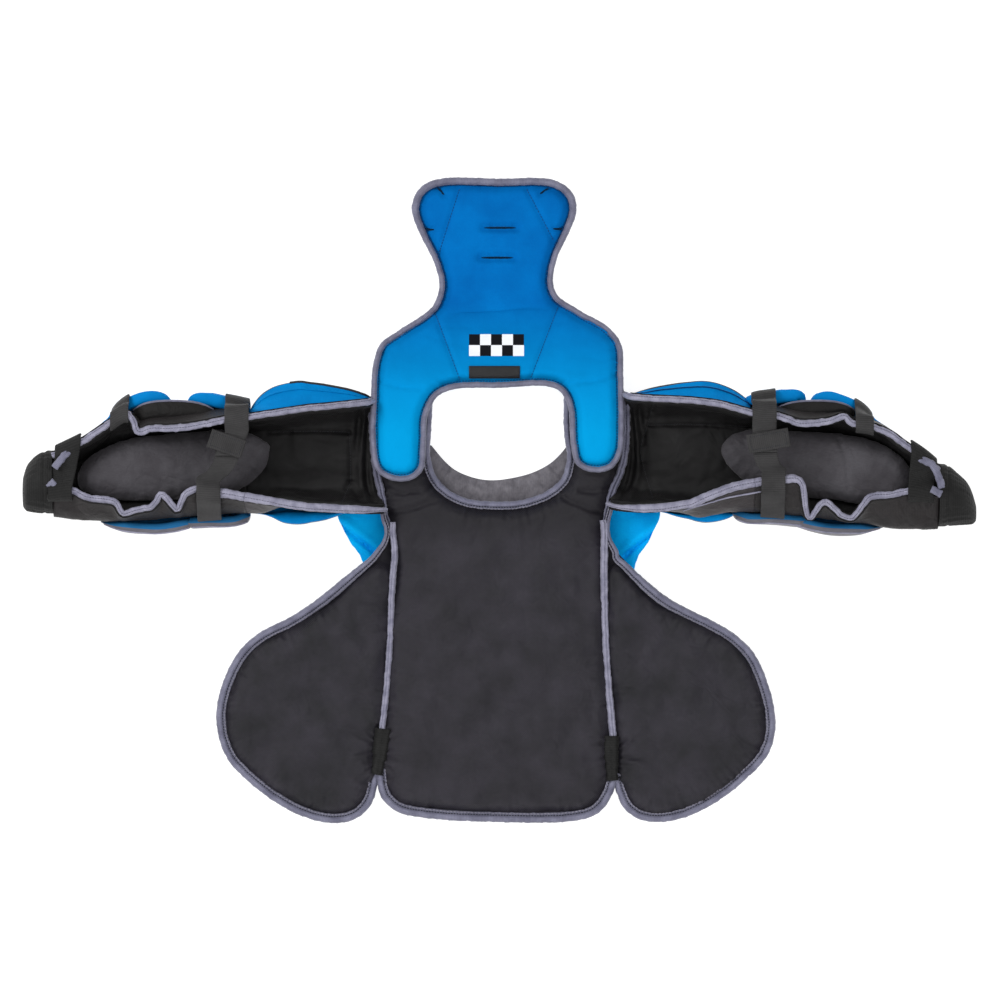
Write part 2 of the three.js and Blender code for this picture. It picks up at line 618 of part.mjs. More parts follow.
function arm(spec) {
  trough(spec, "upper_arm", SHOULDER_END, ELBOW - GAP, [0, 0.25, 0.5, 0.75, 1]);
  trough(spec, "forearm", ELBOW + GAP, spec.topRim.at(-1).out, [0, 0.5, 1]);
  const liner = panel(curve(spec.liner, true), LINER_LOW, LINER_HIGH, 9, 8);
  piece(`${spec.name}_elbow_liner`, liner, MATERIALS.liner);
  guard(spec, "shoulder_cap", SHOULDER_CAP, 2 * GAP, 1);
  const [near, far] = [ELBOW_GUARD[0].out, ELBOW_GUARD.at(-1).out];
  const stretched = (out) => (spec.guardShift * (out - near)) / (far - near);
  guard(spec, "elbow_guard", ELBOW_GUARD, GUARD_CLEAR, GUARD_LIP, stretched);
  guard(spec, "forearm_guard", FOREARM_GUARD, GUARD_CLEAR, GUARD_LIP, () => spec.guardShift);
  elbowCup(spec);
  elbowStrap(spec);
  wristStrap(spec);
  guardStrap(spec);
  cuff(spec);
}

chest();
collar();
["left", "right"].forEach(seam);
["left", "right"].forEach(wing);
backPad();
ARMS.forEach(arm);

export default protector;
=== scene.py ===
"""Dresses a youth goalie chest and arm protector that lies on its front, body side up.

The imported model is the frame. Each soft piece is rebuilt here as what it is: stuffed nylon panels, folded
binding tape, knit-faced foam, brushed cushions and woven elastic. Sizes in the classes are millimetres in
the model's frame, and meshes are metres.
"""

import logging
import math
from dataclasses import dataclass
from enum import Enum
from typing import Callable, Optional, Sequence

import bmesh
import bpy
import numpy as np
from mathutils import Matrix, Vector, noise
from mathutils.bvhtree import BVHTree


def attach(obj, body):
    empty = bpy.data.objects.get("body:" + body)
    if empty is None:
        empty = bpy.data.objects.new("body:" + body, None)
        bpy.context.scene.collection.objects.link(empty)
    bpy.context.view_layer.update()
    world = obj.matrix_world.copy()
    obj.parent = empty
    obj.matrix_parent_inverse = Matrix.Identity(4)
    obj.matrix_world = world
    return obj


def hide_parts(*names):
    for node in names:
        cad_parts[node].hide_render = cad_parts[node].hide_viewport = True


LOG = logging.getLogger("protector")
MM = 0.001
GAP = 0.35  # room between sewn pieces
BINDING = 8.5  # width of the edge binding
PIPE = 7.4  # width of the armhole binding
SHOULDER = 134.0  # where the sleeves start along the arm
PRESSURE = 4.0  # inside a pad that swells
FRAMES = 20  # steps of the swelling
GUARD_ROUND = 230.0  # length of a guard's wall round the arm
SHELF = 0.3  # share of that length on the guard's upper side
LIP = 5.5  # length of a guard's rounded rim
SQUARE = 11.0  # side of a printed square
UP = np.array((0.0, 0.0, 1.0))

Array = np.ndarray
Rows = Sequence[Sequence[float]]
Colour = tuple[float, float, float, float]
Node = bpy.types.Node
Piece = bpy.types.Object

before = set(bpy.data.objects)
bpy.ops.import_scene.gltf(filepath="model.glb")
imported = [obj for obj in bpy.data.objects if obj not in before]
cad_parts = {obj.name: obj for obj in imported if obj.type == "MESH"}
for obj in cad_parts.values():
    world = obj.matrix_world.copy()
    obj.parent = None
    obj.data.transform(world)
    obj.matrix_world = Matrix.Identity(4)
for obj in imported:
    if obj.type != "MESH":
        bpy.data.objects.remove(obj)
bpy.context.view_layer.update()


class Side(Enum):
    """The wearer's side that a piece belongs to, with the sign of its X."""

    LEFT = -1
    RIGHT = 1

    @property
    def word(self) -> str:
        """The side as it stands in piece names."""
        return self.name.lower()


class Face(Enum):
    """How the face of a cloth is made."""

    WOVEN = "woven_face"
    KNIT = "knit_face"
    BRUSHED = "brushed_face"
    RIBBED = "ribbed_face"


# Small sums

def ease(value: Array, low: float, high: float) -> Array:
    """Rises smoothly from 0 at low to 1 at high."""
    share = np.clip((np.asarray(value, float) - low) / (high - low), 0.0, 1.0)
    return share * share * (3.0 - 2.0 * share)


def wrinkle(along: Array, pitch: float, seed: int) -> Array:
    """An uneven ripple that repeats on every run.

    Args:
        along: Distance along a seam, in millimetres.
        pitch: Mean distance between ripples.
        seed: Chooses the ripple.

    Returns:
        Heights from about -1 to 1.
    """
    phases = np.random.default_rng(seed).uniform(0.0, 2.0 * math.pi, 4)
    turns = 2.0 * math.pi * np.asarray(along, float) / pitch
    parts = ((1.0, 0.42), (0.617, 0.3), (1.731, 0.18), (0.283, 0.25))
    return sum(size * np.sin(turns * rate + phase) for (rate, size), phase in zip(parts, phases))


def colour(code: str) -> Colour:
    """Turns a screen colour such as 0078cd into a linear one."""
    parts = [int(code[i:i + 2], 16) / 255.0 for i in (0, 2, 4)]
    linear = [p / 12.92 if p <= 0.04045 else ((p + 0.055) / 1.055) ** 2.4 for p in parts]
    return (linear[0], linear[1], linear[2], 1.0)


def hump(distance: Array, width: float) -> Array:
    """A smooth hump of height 1 that fades over a width."""
    return np.exp(-((distance / width) ** 2))


def steps_of(points: Array) -> Array:
    """Lengths of the steps between a line's points."""
    return np.linalg.norm(np.diff(points, axis=0), axis=1)


def arc_of(points: Array) -> Array:
    """Length along a line at each of its points."""
    return np.concatenate(([0.0], np.cumsum(steps_of(points))))


def unit(vectors: Array) -> Array:
    """Vectors of length 1 in the same directions."""
    return vectors / np.maximum(np.linalg.norm(vectors, axis=-1, keepdims=True), 1e-9)


def row_at(table: Array, place: float) -> list[float]:
    """What a table says in its other columns at a place in its first one."""
    return [float(np.interp(place, table[:, 0], column)) for column in table.T[1:]]


def resample(points: Array, shares: Array) -> Array:
    """Reads a line at shares of its length.

    Args:
        points: The line's points.
        shares: Places from 0 to 1.

    Returns:
        One point for each share.
    """
    arc = arc_of(points)
    places = np.asarray(shares) * arc[-1]
    return np.stack([np.interp(places, arc, points[:, k]) for k in range(points.shape[1])], axis=1)


def bend(rows: Rows, closed: bool = False) -> Array:
    """A smooth line through points, as the solids' outlines are drawn.

    Args:
        rows: The points.
        closed: Whether the line returns to its start.

    Returns:
        The sampled line.
    """
    points = np.asarray(rows, float)
    count = len(points)
    shares = np.linspace(0.0, 1.0, 12, endpoint=False)[:, None]
    done = []
    for i in range(count if closed else count - 1):
        start, end = points[i], points[(i + 1) % count]
        before = points[i - 1] if closed or i > 0 else 2.0 * start - end
        after = points[(i + 2) % count] if closed or i + 2 < count else 2.0 * end - start
        gaps = [max(float(np.linalg.norm(b - a)), 1e-6) ** 0.5
                for a, b in ((before, start), (start, end), (end, after))]
        leave = (start - before) / gaps[0] - (end - before) / (gaps[0] + gaps[1]) + (end - start) / gaps[1]
        reach = (end - start) / gaps[1] - (after - start) / (gaps[1] + gaps[2]) + (after - end) / gaps[2]
        leave, reach = leave * gaps[1], reach * gaps[1]
        square = -3.0 * start + 3.0 * end - 2.0 * leave - reach
        cube = 2.0 * start - 2.0 * end + leave + reach
        done.append(start + leave * shares + square * shares ** 2 + cube * shares ** 3)
    if not closed:
        done.append(points[-1:])
    return np.vstack(done)


@dataclass(frozen=True)
class Line:
    """A line on the pieces, in millimetres, that knows its length and its sides."""

    points: Array
    closed: bool = False

    @classmethod
    def through(cls, rows: Rows, spacing: float = 2.0, closed: bool = False) -> "Line":
        """Draws an evenly spaced smooth line.

        Args:
            rows: Points that the line passes.
            spacing: Distance between its samples.
            closed: Whether it returns to its start.

        Returns:
            The line.
        """
        dense = bend(rows, closed)
        if closed:
            dense = np.vstack([dense, dense[:1]])
        length = float(steps_of(dense).sum())
        count = max(3, int(round(length / spacing)) + 1)
        even = resample(dense, np.linspace(0.0, 1.0, count))
        return cls(even[:-1] if closed else even, closed)

    @property
    def arc(self) -> Array:
        """Length along the line at each point."""
        return arc_of(self.points)

    def tangents(self) -> Array:
        """Unit directions along the line."""
        if self.closed:
            return unit(np.roll(self.points, -1, axis=0) - np.roll(self.points, 1, axis=0))
        return unit(np.gradient(self.points, axis=0))

    def sides(self) -> Array:
        """Unit directions to the right of the line, seen from above."""
        along = self.tangents()
        return unit(np.stack([along[:, 1], -along[:, 0]], axis=1))

    def beside(self, distance: float) -> "Line":
        """The line moved to its right by a distance, in plan."""
        moved = self.points.copy()
        moved[:, :2] += self.sides() * distance
        return Line(moved, self.closed)

    def raised(self, height: Callable[[Array], Array]) -> "Line":
        """The line in plan lifted to a height that depends on its place."""
        return Line(np.column_stack([self.points[:, :2], height(self.points)]), self.closed)

    def between(self, low: float, high: float) -> "Line":
        """The stretch between two places up the body."""
        keep = (self.points[:, 1] >= low) & (self.points[:, 1] <= high)
        return Line(self.points[keep])

    def near(self, places: Array) -> tuple[Array, Array]:
        """Finds how far places are from the line in plan.

        Args:
            places: Points whose first two columns are read.

        Returns:
            The distance of each, and the length along the line at its nearest point.
        """
        at, arc = self.points[:, :2], self.arc
        away, along = np.empty(len(places)), np.empty(len(places))
        for start in range(0, len(places), 4000):
            part = slice(start, start + 4000)
            gaps = np.linalg.norm(places[part, None, :2] - at[None], axis=2)
            nearest = gaps.argmin(axis=1)
            away[part] = gaps[np.arange(len(nearest)), nearest]
            along[part] = arc[nearest]
        return away, along


# Materials

class NodeBench:
    """Adds and joins the nodes of one shader tree."""

    def __init__(self, tree: bpy.types.NodeTree) -> None:
        """Keeps the tree to work on."""
        self.tree = tree

    def add(self, kind: str, inputs: Optional[dict] = None, **settings: object) -> Node:
        """Adds a node.

        Args:
            kind: Blender's name of the node.
            inputs: Values or sockets for its inputs, by name or number.
            settings: Its own settings.

        Returns:
            The node.
        """
        node = self.tree.nodes.new(kind)
        for name, value in settings.items():
            setattr(node, name, value)
        for name, value in (inputs or {}).items():
            if isinstance(value, bpy.types.NodeSocket):
                self.tree.links.new(value, node.inputs[name])
            else:
                node.inputs[name].default_value = value
        return node

    def sum(self, operation: str, first: object, second: object = 0.0, third: object = 0.0) -> object:
        """Adds a Math node and returns its result."""
        node = self.add("ShaderNodeMath", {0: first, 1: second, 2: third}, operation=operation)
        return node.outputs[0]

    def plus(self, first: object, second: object) -> object:
        """Adds two values and returns the result."""
        return self.sum("ADD", first, second)

    def times(self, first: object, second: object) -> object:
        """Multiplies two values and returns the result."""
        return self.sum("MULTIPLY", first, second)

    def mix(self, share: object, first: object, second: object, blend: str = "MIX") -> object:
        """Mixes two colours and returns the result."""
        inputs = {0: share, 6: first, 7: second}
        return self.add("ShaderNodeMix", inputs, data_type="RGBA", blend_type=blend).outputs[2]

    def cloud(self, vector: object, scale: float, detail: float, **more: float) -> object:
        """Adds a soft noise and returns its value."""
        inputs = {"Vector": vector, "Scale": scale, "Detail": detail, **more}
        return self.add("ShaderNodeTexNoise", inputs).outputs[0]


@dataclass(frozen=True)
class Effect:
    """A shader node group that several cloths share. Its draw adds nodes from its inputs to its outputs."""

    name: str
    inputs: tuple[tuple[str, str], ...]
    outputs: tuple[str, ...]
    draw: Callable[[NodeBench, Node], Sequence[object]]

    def group(self) -> bpy.types.NodeTree:
        """Builds the group once and returns it."""
        if self.name in bpy.data.node_groups:
            return bpy.data.node_groups[self.name]
        tree = bpy.data.node_groups.new(self.name, "ShaderNodeTree")
        for name, kind in self.inputs:
            tree.interface.new_socket(name, in_out="INPUT", socket_type=kind)
        for name in self.outputs:
            tree.interface.new_socket(name, in_out="OUTPUT", socket_type="NodeSocketFloat")
        bench = NodeBench(tree)
        start = bench.add("NodeGroupInput")
        results = self.draw(bench, start)
        bench.add("NodeGroupOutput", dict(enumerate(results)))
        return tree

    def place(self, bench: NodeBench, inputs: dict) -> Node:
        """Puts the group into a material with its own values."""
        return bench.add("ShaderNodeGroup", inputs, node_tree=self.group())


def scaled(bench: NodeBench, vector: object, pitch: object) -> object:
    """Divides coordinates by a pitch and returns them."""
    rate = bench.sum("DIVIDE", 1.0, pitch)
    return bench.add("ShaderNodeVectorMath", {0: vector, "Scale": rate}, operation="SCALE").outputs[0]


def wave(bench: NodeBench, value: object, turns: float = 1.0) -> object:
    """A ripple from 0 to 1 for each unit of a value."""
    swing = bench.sum("SINE", bench.times(value, turns * 2.0 * math.pi))
    return bench.sum("MULTIPLY_ADD", swing, 0.5, 0.5)


def draw_woven(bench: NodeBench, start: Node) -> Sequence[object]:
    """A plain weave: warp and weft pass over each other by turns."""
    at = bench.add("ShaderNodeSeparateXYZ", {0: scaled(bench, start.outputs[0], start.outputs[1])})
    warp, weft = wave(bench, at.outputs[0]), wave(bench, at.outputs[1])
    swings = [bench.sum("SINE", bench.times(at.outputs[k], math.pi)) for k in (0, 1)]
    turn = bench.sum("GREATER_THAN", bench.times(*swings))
    over = bench.times(warp, turn)
    under = bench.times(weft, bench.sum("SUBTRACT", 1.0, turn))
    slub = bench.cloud(start.outputs[0], 420.0, 2.0)
    height = bench.plus(bench.plus(over, under), bench.times(slub, 0.6))
    return (height, bench.times(height, 0.62))


def draw_knit(bench: NodeBench, start: Node) -> Sequence[object]:
    """A fine knit: columns of small loops under a soft nap."""
    at = bench.add("ShaderNodeSeparateXYZ", {0: scaled(bench, start.outputs[0], start.outputs[1])})
    column = wave(bench, at.outputs[0])
    slant = bench.plus(at.outputs[1], bench.times(column, 0.45))
    loop = bench.times(wave(bench, slant), bench.sum("MULTIPLY_ADD", column, 0.5, 0.5))
    nap = bench.cloud(start.outputs[0], 620.0, 3.0)
    height = bench.plus(bench.times(loop, 0.6), nap)
    return (height, bench.times(height, 0.62))


def draw_brushed(bench: NodeBench, start: Node) -> Sequence[object]:
    """A brushed face: short fibres that lie mostly one way."""
    height = bench.cloud(scaled(bench, start.outputs[0], start.outputs[1]), 1.0, 4.0, Roughness=0.6)
    return (height, height)


def draw_ribbed(bench: NodeBench, start: Node) -> Sequence[object]:
    """A ribbed tape: cords across its length with a thread between them."""
    at = bench.add("ShaderNodeSeparateXYZ", {0: scaled(bench, start.outputs[0], start.outputs[1])})
    rib, thread = wave(bench, at.outputs[0]), wave(bench, at.outputs[1], 1.4)
    fuzz = bench.cloud(start.outputs[0], 500.0, 2.0)
    height = bench.plus(bench.times(rib, 0.7), bench.times(thread, 0.25))
    height = bench.plus(height, bench.times(fuzz, 0.4))
    return (height, bench.times(height, 0.74))


def draw_patches(bench: NodeBench, start: Node) -> Sequence[object]:
    """Soft patches where cloth is a little lighter or darker."""
    cloud = bench.cloud(scaled(bench, start.outputs[0], start.outputs[1]), 1.0, 3.0, Roughness=0.55)
    return (bench.add("ShaderNodeMapRange", {0: cloud, 1: 0.32, 2: 0.68}).outputs[0],)


def draw_creases(bench: NodeBench, start: Node) -> Sequence[object]:
    """Soft handling creases in a thin cloth."""
    cloud = bench.cloud(scaled(bench, start.outputs[0], start.outputs[1]), 1.0, 2.0, Distortion=0.8)
    return (bench.times(bench.sum("ABSOLUTE", bench.sum("SUBTRACT", cloud, 0.5)), 2.0),)


def draw_block(bench: NodeBench, start: Node) -> Sequence[object]:
    """A plain block on an upper face, between two places across and two places up."""
    at = bench.add("ShaderNodeSeparateXYZ", {0: start.outputs[0]})
    inside = bench.sum("GREATER_THAN", at.outputs[2], 0.004)
    for k, (low, high) in enumerate(((1, 2), (3, 4))):
        inside = bench.times(inside, bench.sum("GREATER_THAN", at.outputs[k], start.outputs[low]))
        inside = bench.times(inside, bench.sum("LESS_THAN", at.outputs[k], start.outputs[high]))
    return (inside,)


PITCHED = (("Vector", "NodeSocketVector"), ("Pitch", "NodeSocketFloat"))
DRAWN = ((Face.WOVEN, draw_woven), (Face.KNIT, draw_knit), (Face.BRUSHED, draw_brushed),
         (Face.RIBBED, draw_ribbed))
FACES = {face: Effect(face.value, PITCHED, ("Height", "Shade"), draw) for face, draw in DRAWN}
PATCHES = Effect("soft_patches", PITCHED, ("Mask",), draw_patches)
CREASES = Effect("soft_creases", PITCHED, ("Height",), draw_creases)
EDGES = ("Left", "Right", "Low", "High")
BLOCK = Effect(
    "printed_block", (PITCHED[0], *((name, "NodeSocketFloat") for name in EDGES)), ("Mask",), draw_block)


@dataclass(frozen=True)
class ClothFinish:
    """A cloth with its colours, face and sheen."""

    name: str
    slot: str
    tone: str
    deep: str
    face: Face
    pitch: float
    grain: float = 0.3
    relief: float = 0.25
    creases: float = 0.15
    crease_size: float = 30.0
    patch_size: float = 55.0
    roughness: float = 0.6
    sheen: float = 0.15
    sheen_tint: str = "ffffff"
    specular: float = 0.35
    lay: tuple[float, float, float] = (1.0, 1.0, 1.0)

    def material(self) -> bpy.types.Material:
        """Builds the material once and returns it."""
        if self.name in bpy.data.materials:
            return bpy.data.materials[self.name]
        made = bpy.data.materials.new(self.name)
        made.use_nodes = True
        made.node_tree.nodes.clear()
        bench = NodeBench(made.node_tree)
        place = bench.add("ShaderNodeTexCoord").outputs["Object"]
        own = place
        if self.face is Face.RIBBED:
            own = bench.add("ShaderNodeUVMap", uv_map="tape").outputs[0]
        own = bench.add("ShaderNodeVectorMath", {0: own, 1: self.lay}, operation="MULTIPLY").outputs[0]
        face = FACES[self.face].place(bench, {"Vector": own, "Pitch": self.pitch * MM})
        patch = PATCHES.place(bench, {"Vector": place, "Pitch": self.patch_size * MM})
        fold = CREASES.place(bench, {"Vector": place, "Pitch": self.crease_size * MM})
        base = bench.mix(patch.outputs[0], colour(self.deep), colour(self.tone))
        shade = bench.times(bench.sum("SUBTRACT", 1.0, face.outputs[1]), self.grain)
        base = bench.mix(shade, base, colour(self.deep), "MULTIPLY")
        base = self.printed(bench, place, base)
        rough = bench.add("ShaderNodeMapRange", {0: face.outputs[1], 3: self.roughness + 0.08,
                                                 4: self.roughness - 0.06}).outputs[0]
        bumps = bench.add("ShaderNodeBump", {"Strength": self.creases, "Distance": 0.004,
                                             "Height": fold.outputs[0]})
        bumps = bench.add("ShaderNodeBump", {"Strength": self.relief, "Distance": 0.0004,
                                             "Height": face.outputs[0], "Normal": bumps.outputs[0]})
        shader = bench.add("ShaderNodeBsdfPrincipled", {
            "Base Color": base, "Roughness": rough, "Normal": bumps.outputs[0],
            "Sheen Weight": self.sheen, "Sheen Roughness": 0.45, "Sheen Tint": colour(self.sheen_tint),
            "Specular IOR Level": self.specular,
        })
        bench.add("ShaderNodeOutputMaterial", {"Surface": shader.outputs[0]})
        return made

    def printed(self, bench: NodeBench, place: object, base: object) -> object:
        """Leaves the cloth's colour as it is."""
        return base


@dataclass(frozen=True)
class PrintedFinish(ClothFinish):
    """A cloth that changes colour up the body, as painted light on the back pad, and carries plain blocks:
    left, right, low, high, colour.
    """

    blocks: tuple[tuple[float, float, float, float, str], ...] = ()
    zone_tone: str = "00a2e6"
    zone_rows: tuple[float, float] = (200.0, 55.0)

    def printed(self, bench: NodeBench, place: object, base: object) -> object:
        """Fades the cloth into its second colour up the body, then prints the blocks in turn.

        Args:
            bench: The material's nodes.
            place: Where on the piece, in metres.
            base: The cloth's own colour.

        Returns:
            The finished colour.
        """
        # On the back pad this fade is painted light: the foam is painted lighter towards the strap ends.
        up = bench.add("ShaderNodeSeparateXYZ", {0: place}).outputs[1]
        start, end = self.zone_rows
        share = bench.add("ShaderNodeMapRange", {0: up, 1: start * MM, 2: end * MM, 4: 0.85}).outputs[0]
        base = bench.mix(share, base, colour(self.zone_tone))
        for *edges, code in self.blocks:
            inputs = {name: edge * MM for name, edge in zip(EDGES, edges)}
            mask = BLOCK.place(bench, {"Vector": place, **inputs})
            base = bench.mix(mask.outputs[0], base, colour(code))
        return base


NYLON = {"face": Face.WOVEN, "pitch": 1.1, "grain": 0.5, "relief": 0.5, "sheen": 0.03}
BODY_NYLON = {
    **NYLON, "creases": 0.3, "crease_size": 22.0, "patch_size": 34.0, "roughness": 0.45, "specular": 0.25}
SHELL = {"face": Face.WOVEN, "pitch": 0.8, "roughness": 0.5}
SLEEVE = {**SHELL, "creases": 0.25, "crease_size": 18.0}
BAND = {"face": Face.RIBBED, "pitch": 1.5, "grain": 0.4, "relief": 0.4}
KNIT = {
    "face": Face.KNIT, "pitch": 1.5, "grain": 0.25, "relief": 0.3, "roughness": 0.75, "sheen_tint": "2fa4ff"}
THREAD = {"face": Face.BRUSHED, "pitch": 0.5}

LINING = ClothFinish("black_nylon", "lining", "2e2b34", "1a191f", **BODY_NYLON)
CHEST_LINING = PrintedFinish(
    "black_chest_nylon", "lining", "2e2b34", "1f1d24", **BODY_NYLON, zone_tone="141218",
    zone_rows=(-46.0, -17.0))
SLEEVE_LINING = ClothFinish(
    "sleeve_nylon", "lining", "1e1d1e", "100f10", **NYLON, creases=0.25, crease_size=24.0, patch_size=30.0,
    roughness=0.48, specular=0.22)
SLEEVE_SHELL = ClothFinish(
    "taupe_shell", "lining", "332e30", "262224", **SLEEVE, patch_size=20.0, sheen=0.05, specular=0.25)
WRIST_SHELL = ClothFinish(
    "dark_shell", "lining", "242021", "1a1718", **SLEEVE, patch_size=18.0, sheen=0.04, specular=0.22,
    lay=(0.5, 1.0, 1.0))
GUARD_SHELL = ClothFinish(
    "grey_guard_shell", "blue_foam", "6c6a71", "585660", **SHELL, creases=0.2, crease_size=16.0,
    patch_size=20.0)
CUP_SHELL = ClothFinish(
    "brown_cup_shell", "lining", "110e0e", "0b0909", Face.WOVEN, 0.8, creases=0.3, crease_size=14.0,
    patch_size=16.0, roughness=0.6, specular=0.25)
CAP_SHELL = ClothFinish("black_cap_shell", "blue_foam", "2d2b2b", "232122", **SHELL)
TAPE = ClothFinish(
    "grey_binding", "binding", "7d7d91", "626276", **BAND, creases=0.12, crease_size=7.0, patch_size=12.0)
# Painted light: the grey binding painted lighter, a lit copy of TAPE as if facing up into the light, for the
# arm rims, welt and piping.
LIT_TAPE = ClothFinish(
    "pale_binding", "binding", "9c9bae", "7a798d", **BAND, creases=0.2, crease_size=6.0, patch_size=9.0,
    roughness=0.58)
FOAM = PrintedFinish(
    "blue_knit_foam", "blue_foam", "0086cc", "0077bc", **KNIT, creases=0.12, crease_size=30.0,
    patch_size=34.0, sheen=0.04, specular=0.06, zone_tone="245c86", zone_rows=(30.0, -15.0))
# Painted light: the blue foam painted far lighter, a lit copy that offsets the shade under the sleeves.
LIT_SIDE_FOAM = ClothFinish(
    "blue_side_foam", "blue_foam", "00bcff", "00a8f2", **KNIT, creases=0.15, crease_size=26.0,
    patch_size=30.0, sheen=0.04, specular=0.06)
CAP_FOAM = ClothFinish(
    "blue_cap_foam", "blue_foam", "0087cd", "0077ba", **KNIT, creases=0.2, crease_size=24.0,
    patch_size=26.0, sheen=0.03, specular=0.05)
CHECKS = tuple(
    (-31.0 + SQUARE * i, -31.0 + SQUARE * (i + 1), 144.0 + SQUARE * j, 144.0 + SQUARE * (j + 1),
     "15161a" if (i + j) % 2 else "e6e9ee") for i in range(5) for j in range(2))
# Painted light: the zone tone paints the back pad lighter towards its strap ends, where light falls more
# strongly; the checks are print.
BACK_FOAM = PrintedFinish(
    "back_knit_foam", "blue_foam", "006db7", "0060a8", **KNIT, creases=0.12, crease_size=34.0,
    patch_size=40.0, sheen=0.02, specular=0.03, zone_tone="0098d3", zone_rows=(198.0, 66.0), blocks=CHECKS)
LINER = ClothFinish(
    "brushed_liner", "liner", "4d4b50", "3c393e", Face.BRUSHED, 1.4, grain=0.35, relief=0.4, creases=0.35,
    crease_size=20.0, patch_size=30.0, roughness=0.75, sheen=0.12, lay=(0.4, 1.0, 1.0))
WEBBING = ClothFinish(
    "black_webbing", "webbing", "353435", "262526", Face.RIBBED, 1.9, grain=0.5, relief=0.6, creases=0.12,
    patch_size=24.0, roughness=0.7, sheen=0.07)
ELASTIC = ClothFinish(
    "black_elastic", "webbing", "1c1c1c", "131313", Face.RIBBED, 2.4, grain=0.4, relief=0.5, creases=0.3,
    crease_size=12.0, patch_size=18.0, roughness=0.72, sheen=0.03, specular=0.25)
COLLAR_KNIT = ClothFinish(
    "grey_collar_knit", "collar", "78757b", "5b585e", Face.BRUSHED, 1.2, grain=0.5, relief=0.4, creases=0.2,
    crease_size=12.0, patch_size=9.0, roughness=0.8, lay=(1.0, 0.18, 1.0))
# Pale thread and painted highlight: the pale line laid along a binding's ridge.
PALE_THREAD_HIGHLIGHT = ClothFinish("pale_thread", "binding", "8e8c9a", "757380", **THREAD)
DARK_THREAD = ClothFinish("dark_thread", "binding", "20222c", "14161d", **THREAD)
# Dark blue thread that also stands in as painted shade: along the back pad's seam valleys and border, and in
# the right shoulder cap's crease.
SEAM_THREAD_AND_SHADE = ClothFinish(
    "blue_seam_thread", "blue_foam", "00477f", "003a6b", **THREAD, roughness=0.8, specular=0.05)
# Painted shade, with the cut itself: dark lenses laid in the back pad's slits and darts.
SLIT_SHADE = ClothFinish(
    "slit_lining", "blue_foam", "06263f", "051c31", Face.KNIT, 0.8, roughness=0.9, specular=0.02)
LABEL = ClothFinish("black_label", "webbing", "17171a", "101013", Face.WOVEN, 0.6, roughness=0.5)


# Mesh work

def new_piece(name: str, shape: bmesh.types.BMesh) -> Piece:
    """Turns a finished bmesh into a smooth-shaded object at the origin.

    Args:
        name: The piece's name.
        shape: Its mesh, in metres. It is freed here.

    Returns:
        The object.
    """
    mesh = bpy.data.meshes.new(name)
    for face in shape.faces:
        face.smooth = True
    shape.to_mesh(mesh)
    shape.free()
    piece = bpy.data.objects.new(name, mesh)
    bpy.context.collection.objects.link(piece)
    return piece


def settle(piece: Piece, finishes: Sequence[ClothFinish], node: str = "") -> Piece:
    """Gives a piece its cloths and its place on the body.

    Args:
        piece: The piece.
        finishes: Its cloths, in the order of its face groups.
        node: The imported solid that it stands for, if any.

    Returns:
        The piece.
    """
    for finish in finishes:
        piece.data.materials.append(finish.material())
    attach(piece, "root")
    if node:
        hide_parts(node)
    LOG.info("%s: %d faces in %s", piece.name, len(piece.data.polygons), finishes[0].name)
    return piece


def read_points(piece: Piece) -> Array:
    """A mesh's points, in millimetres."""
    flat = np.empty(len(piece.data.vertices) * 3)
    piece.data.vertices.foreach_get("co", flat)
    return flat.reshape(-1, 3) / MM


def write_points(piece: Piece, points: Array) -> None:
    """Puts points in millimetres back into a mesh."""
    piece.data.vertices.foreach_set("co", (points * MM).ravel())
    piece.data.update()


def read_normals(piece: Piece) -> Array:
    """A mesh's normals at its points."""
    flat = np.empty(len(piece.data.vertices) * 3)
    piece.data.vertex_normals.foreach_get("vector", flat)
    return flat.reshape(-1, 3)


def baked(piece: Piece) -> None:
    """Applies a piece's modifiers to its mesh."""
    graph = bpy.context.evaluated_depsgraph_get()
    mesh = bpy.data.meshes.new_from_object(piece.evaluated_get(graph))
    piece.modifiers.clear()
    old, piece.data = piece.data, mesh
    bpy.data.meshes.remove(old)


def stuffed_copy(node: str, name: str, voxel: float, tip: Rows = (),
                 tall: tuple[float, float] = (0.0, 1.0)) -> Piece:
    """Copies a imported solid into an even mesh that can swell.

    Args:
        node: The solid.
        name: The new piece's name.
        voxel: Size of its mesh, in millimetres.
        tip: Outline in plan of a block that lengthens the solid, or none.
        tall: Heights between which that block stands.

    Returns:
        The new piece.
    """
    shape = bmesh.new()
    shape.from_mesh(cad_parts[node].data)
    bmesh.ops.remove_doubles(shape, verts=shape.verts, dist=1e-5)
    if tip:
        corners = bmesh.ops.create_circle(shape, cap_ends=True, segments=len(tip), radius=1.0)["verts"]
        for corner, (x, y) in zip(corners, tip):
            corner.co = Vector((x, y, tall[0])) * MM
        base = list({face for corner in corners for face in corner.link_faces})
        grown = bmesh.ops.extrude_face_region(shape, geom=base, use_keep_orig=True)["geom"]
        for vert in (g for g in grown if isinstance(g, bmesh.types.BMVert)):
            vert.co.z = tall[1] * MM
        bmesh.ops.recalc_face_normals(shape, faces=shape.faces)
    piece = new_piece(name, shape)
    remesh = piece.modifiers.new("even", "REMESH")
    remesh.mode = "VOXEL"
    remesh.voxel_size = voxel * MM
    remesh.use_smooth_shade = True
    smoother = piece.modifiers.new("soften", "SMOOTH")
    smoother.factor = 0.5
    smoother.iterations = 2
    baked(piece)
    return piece


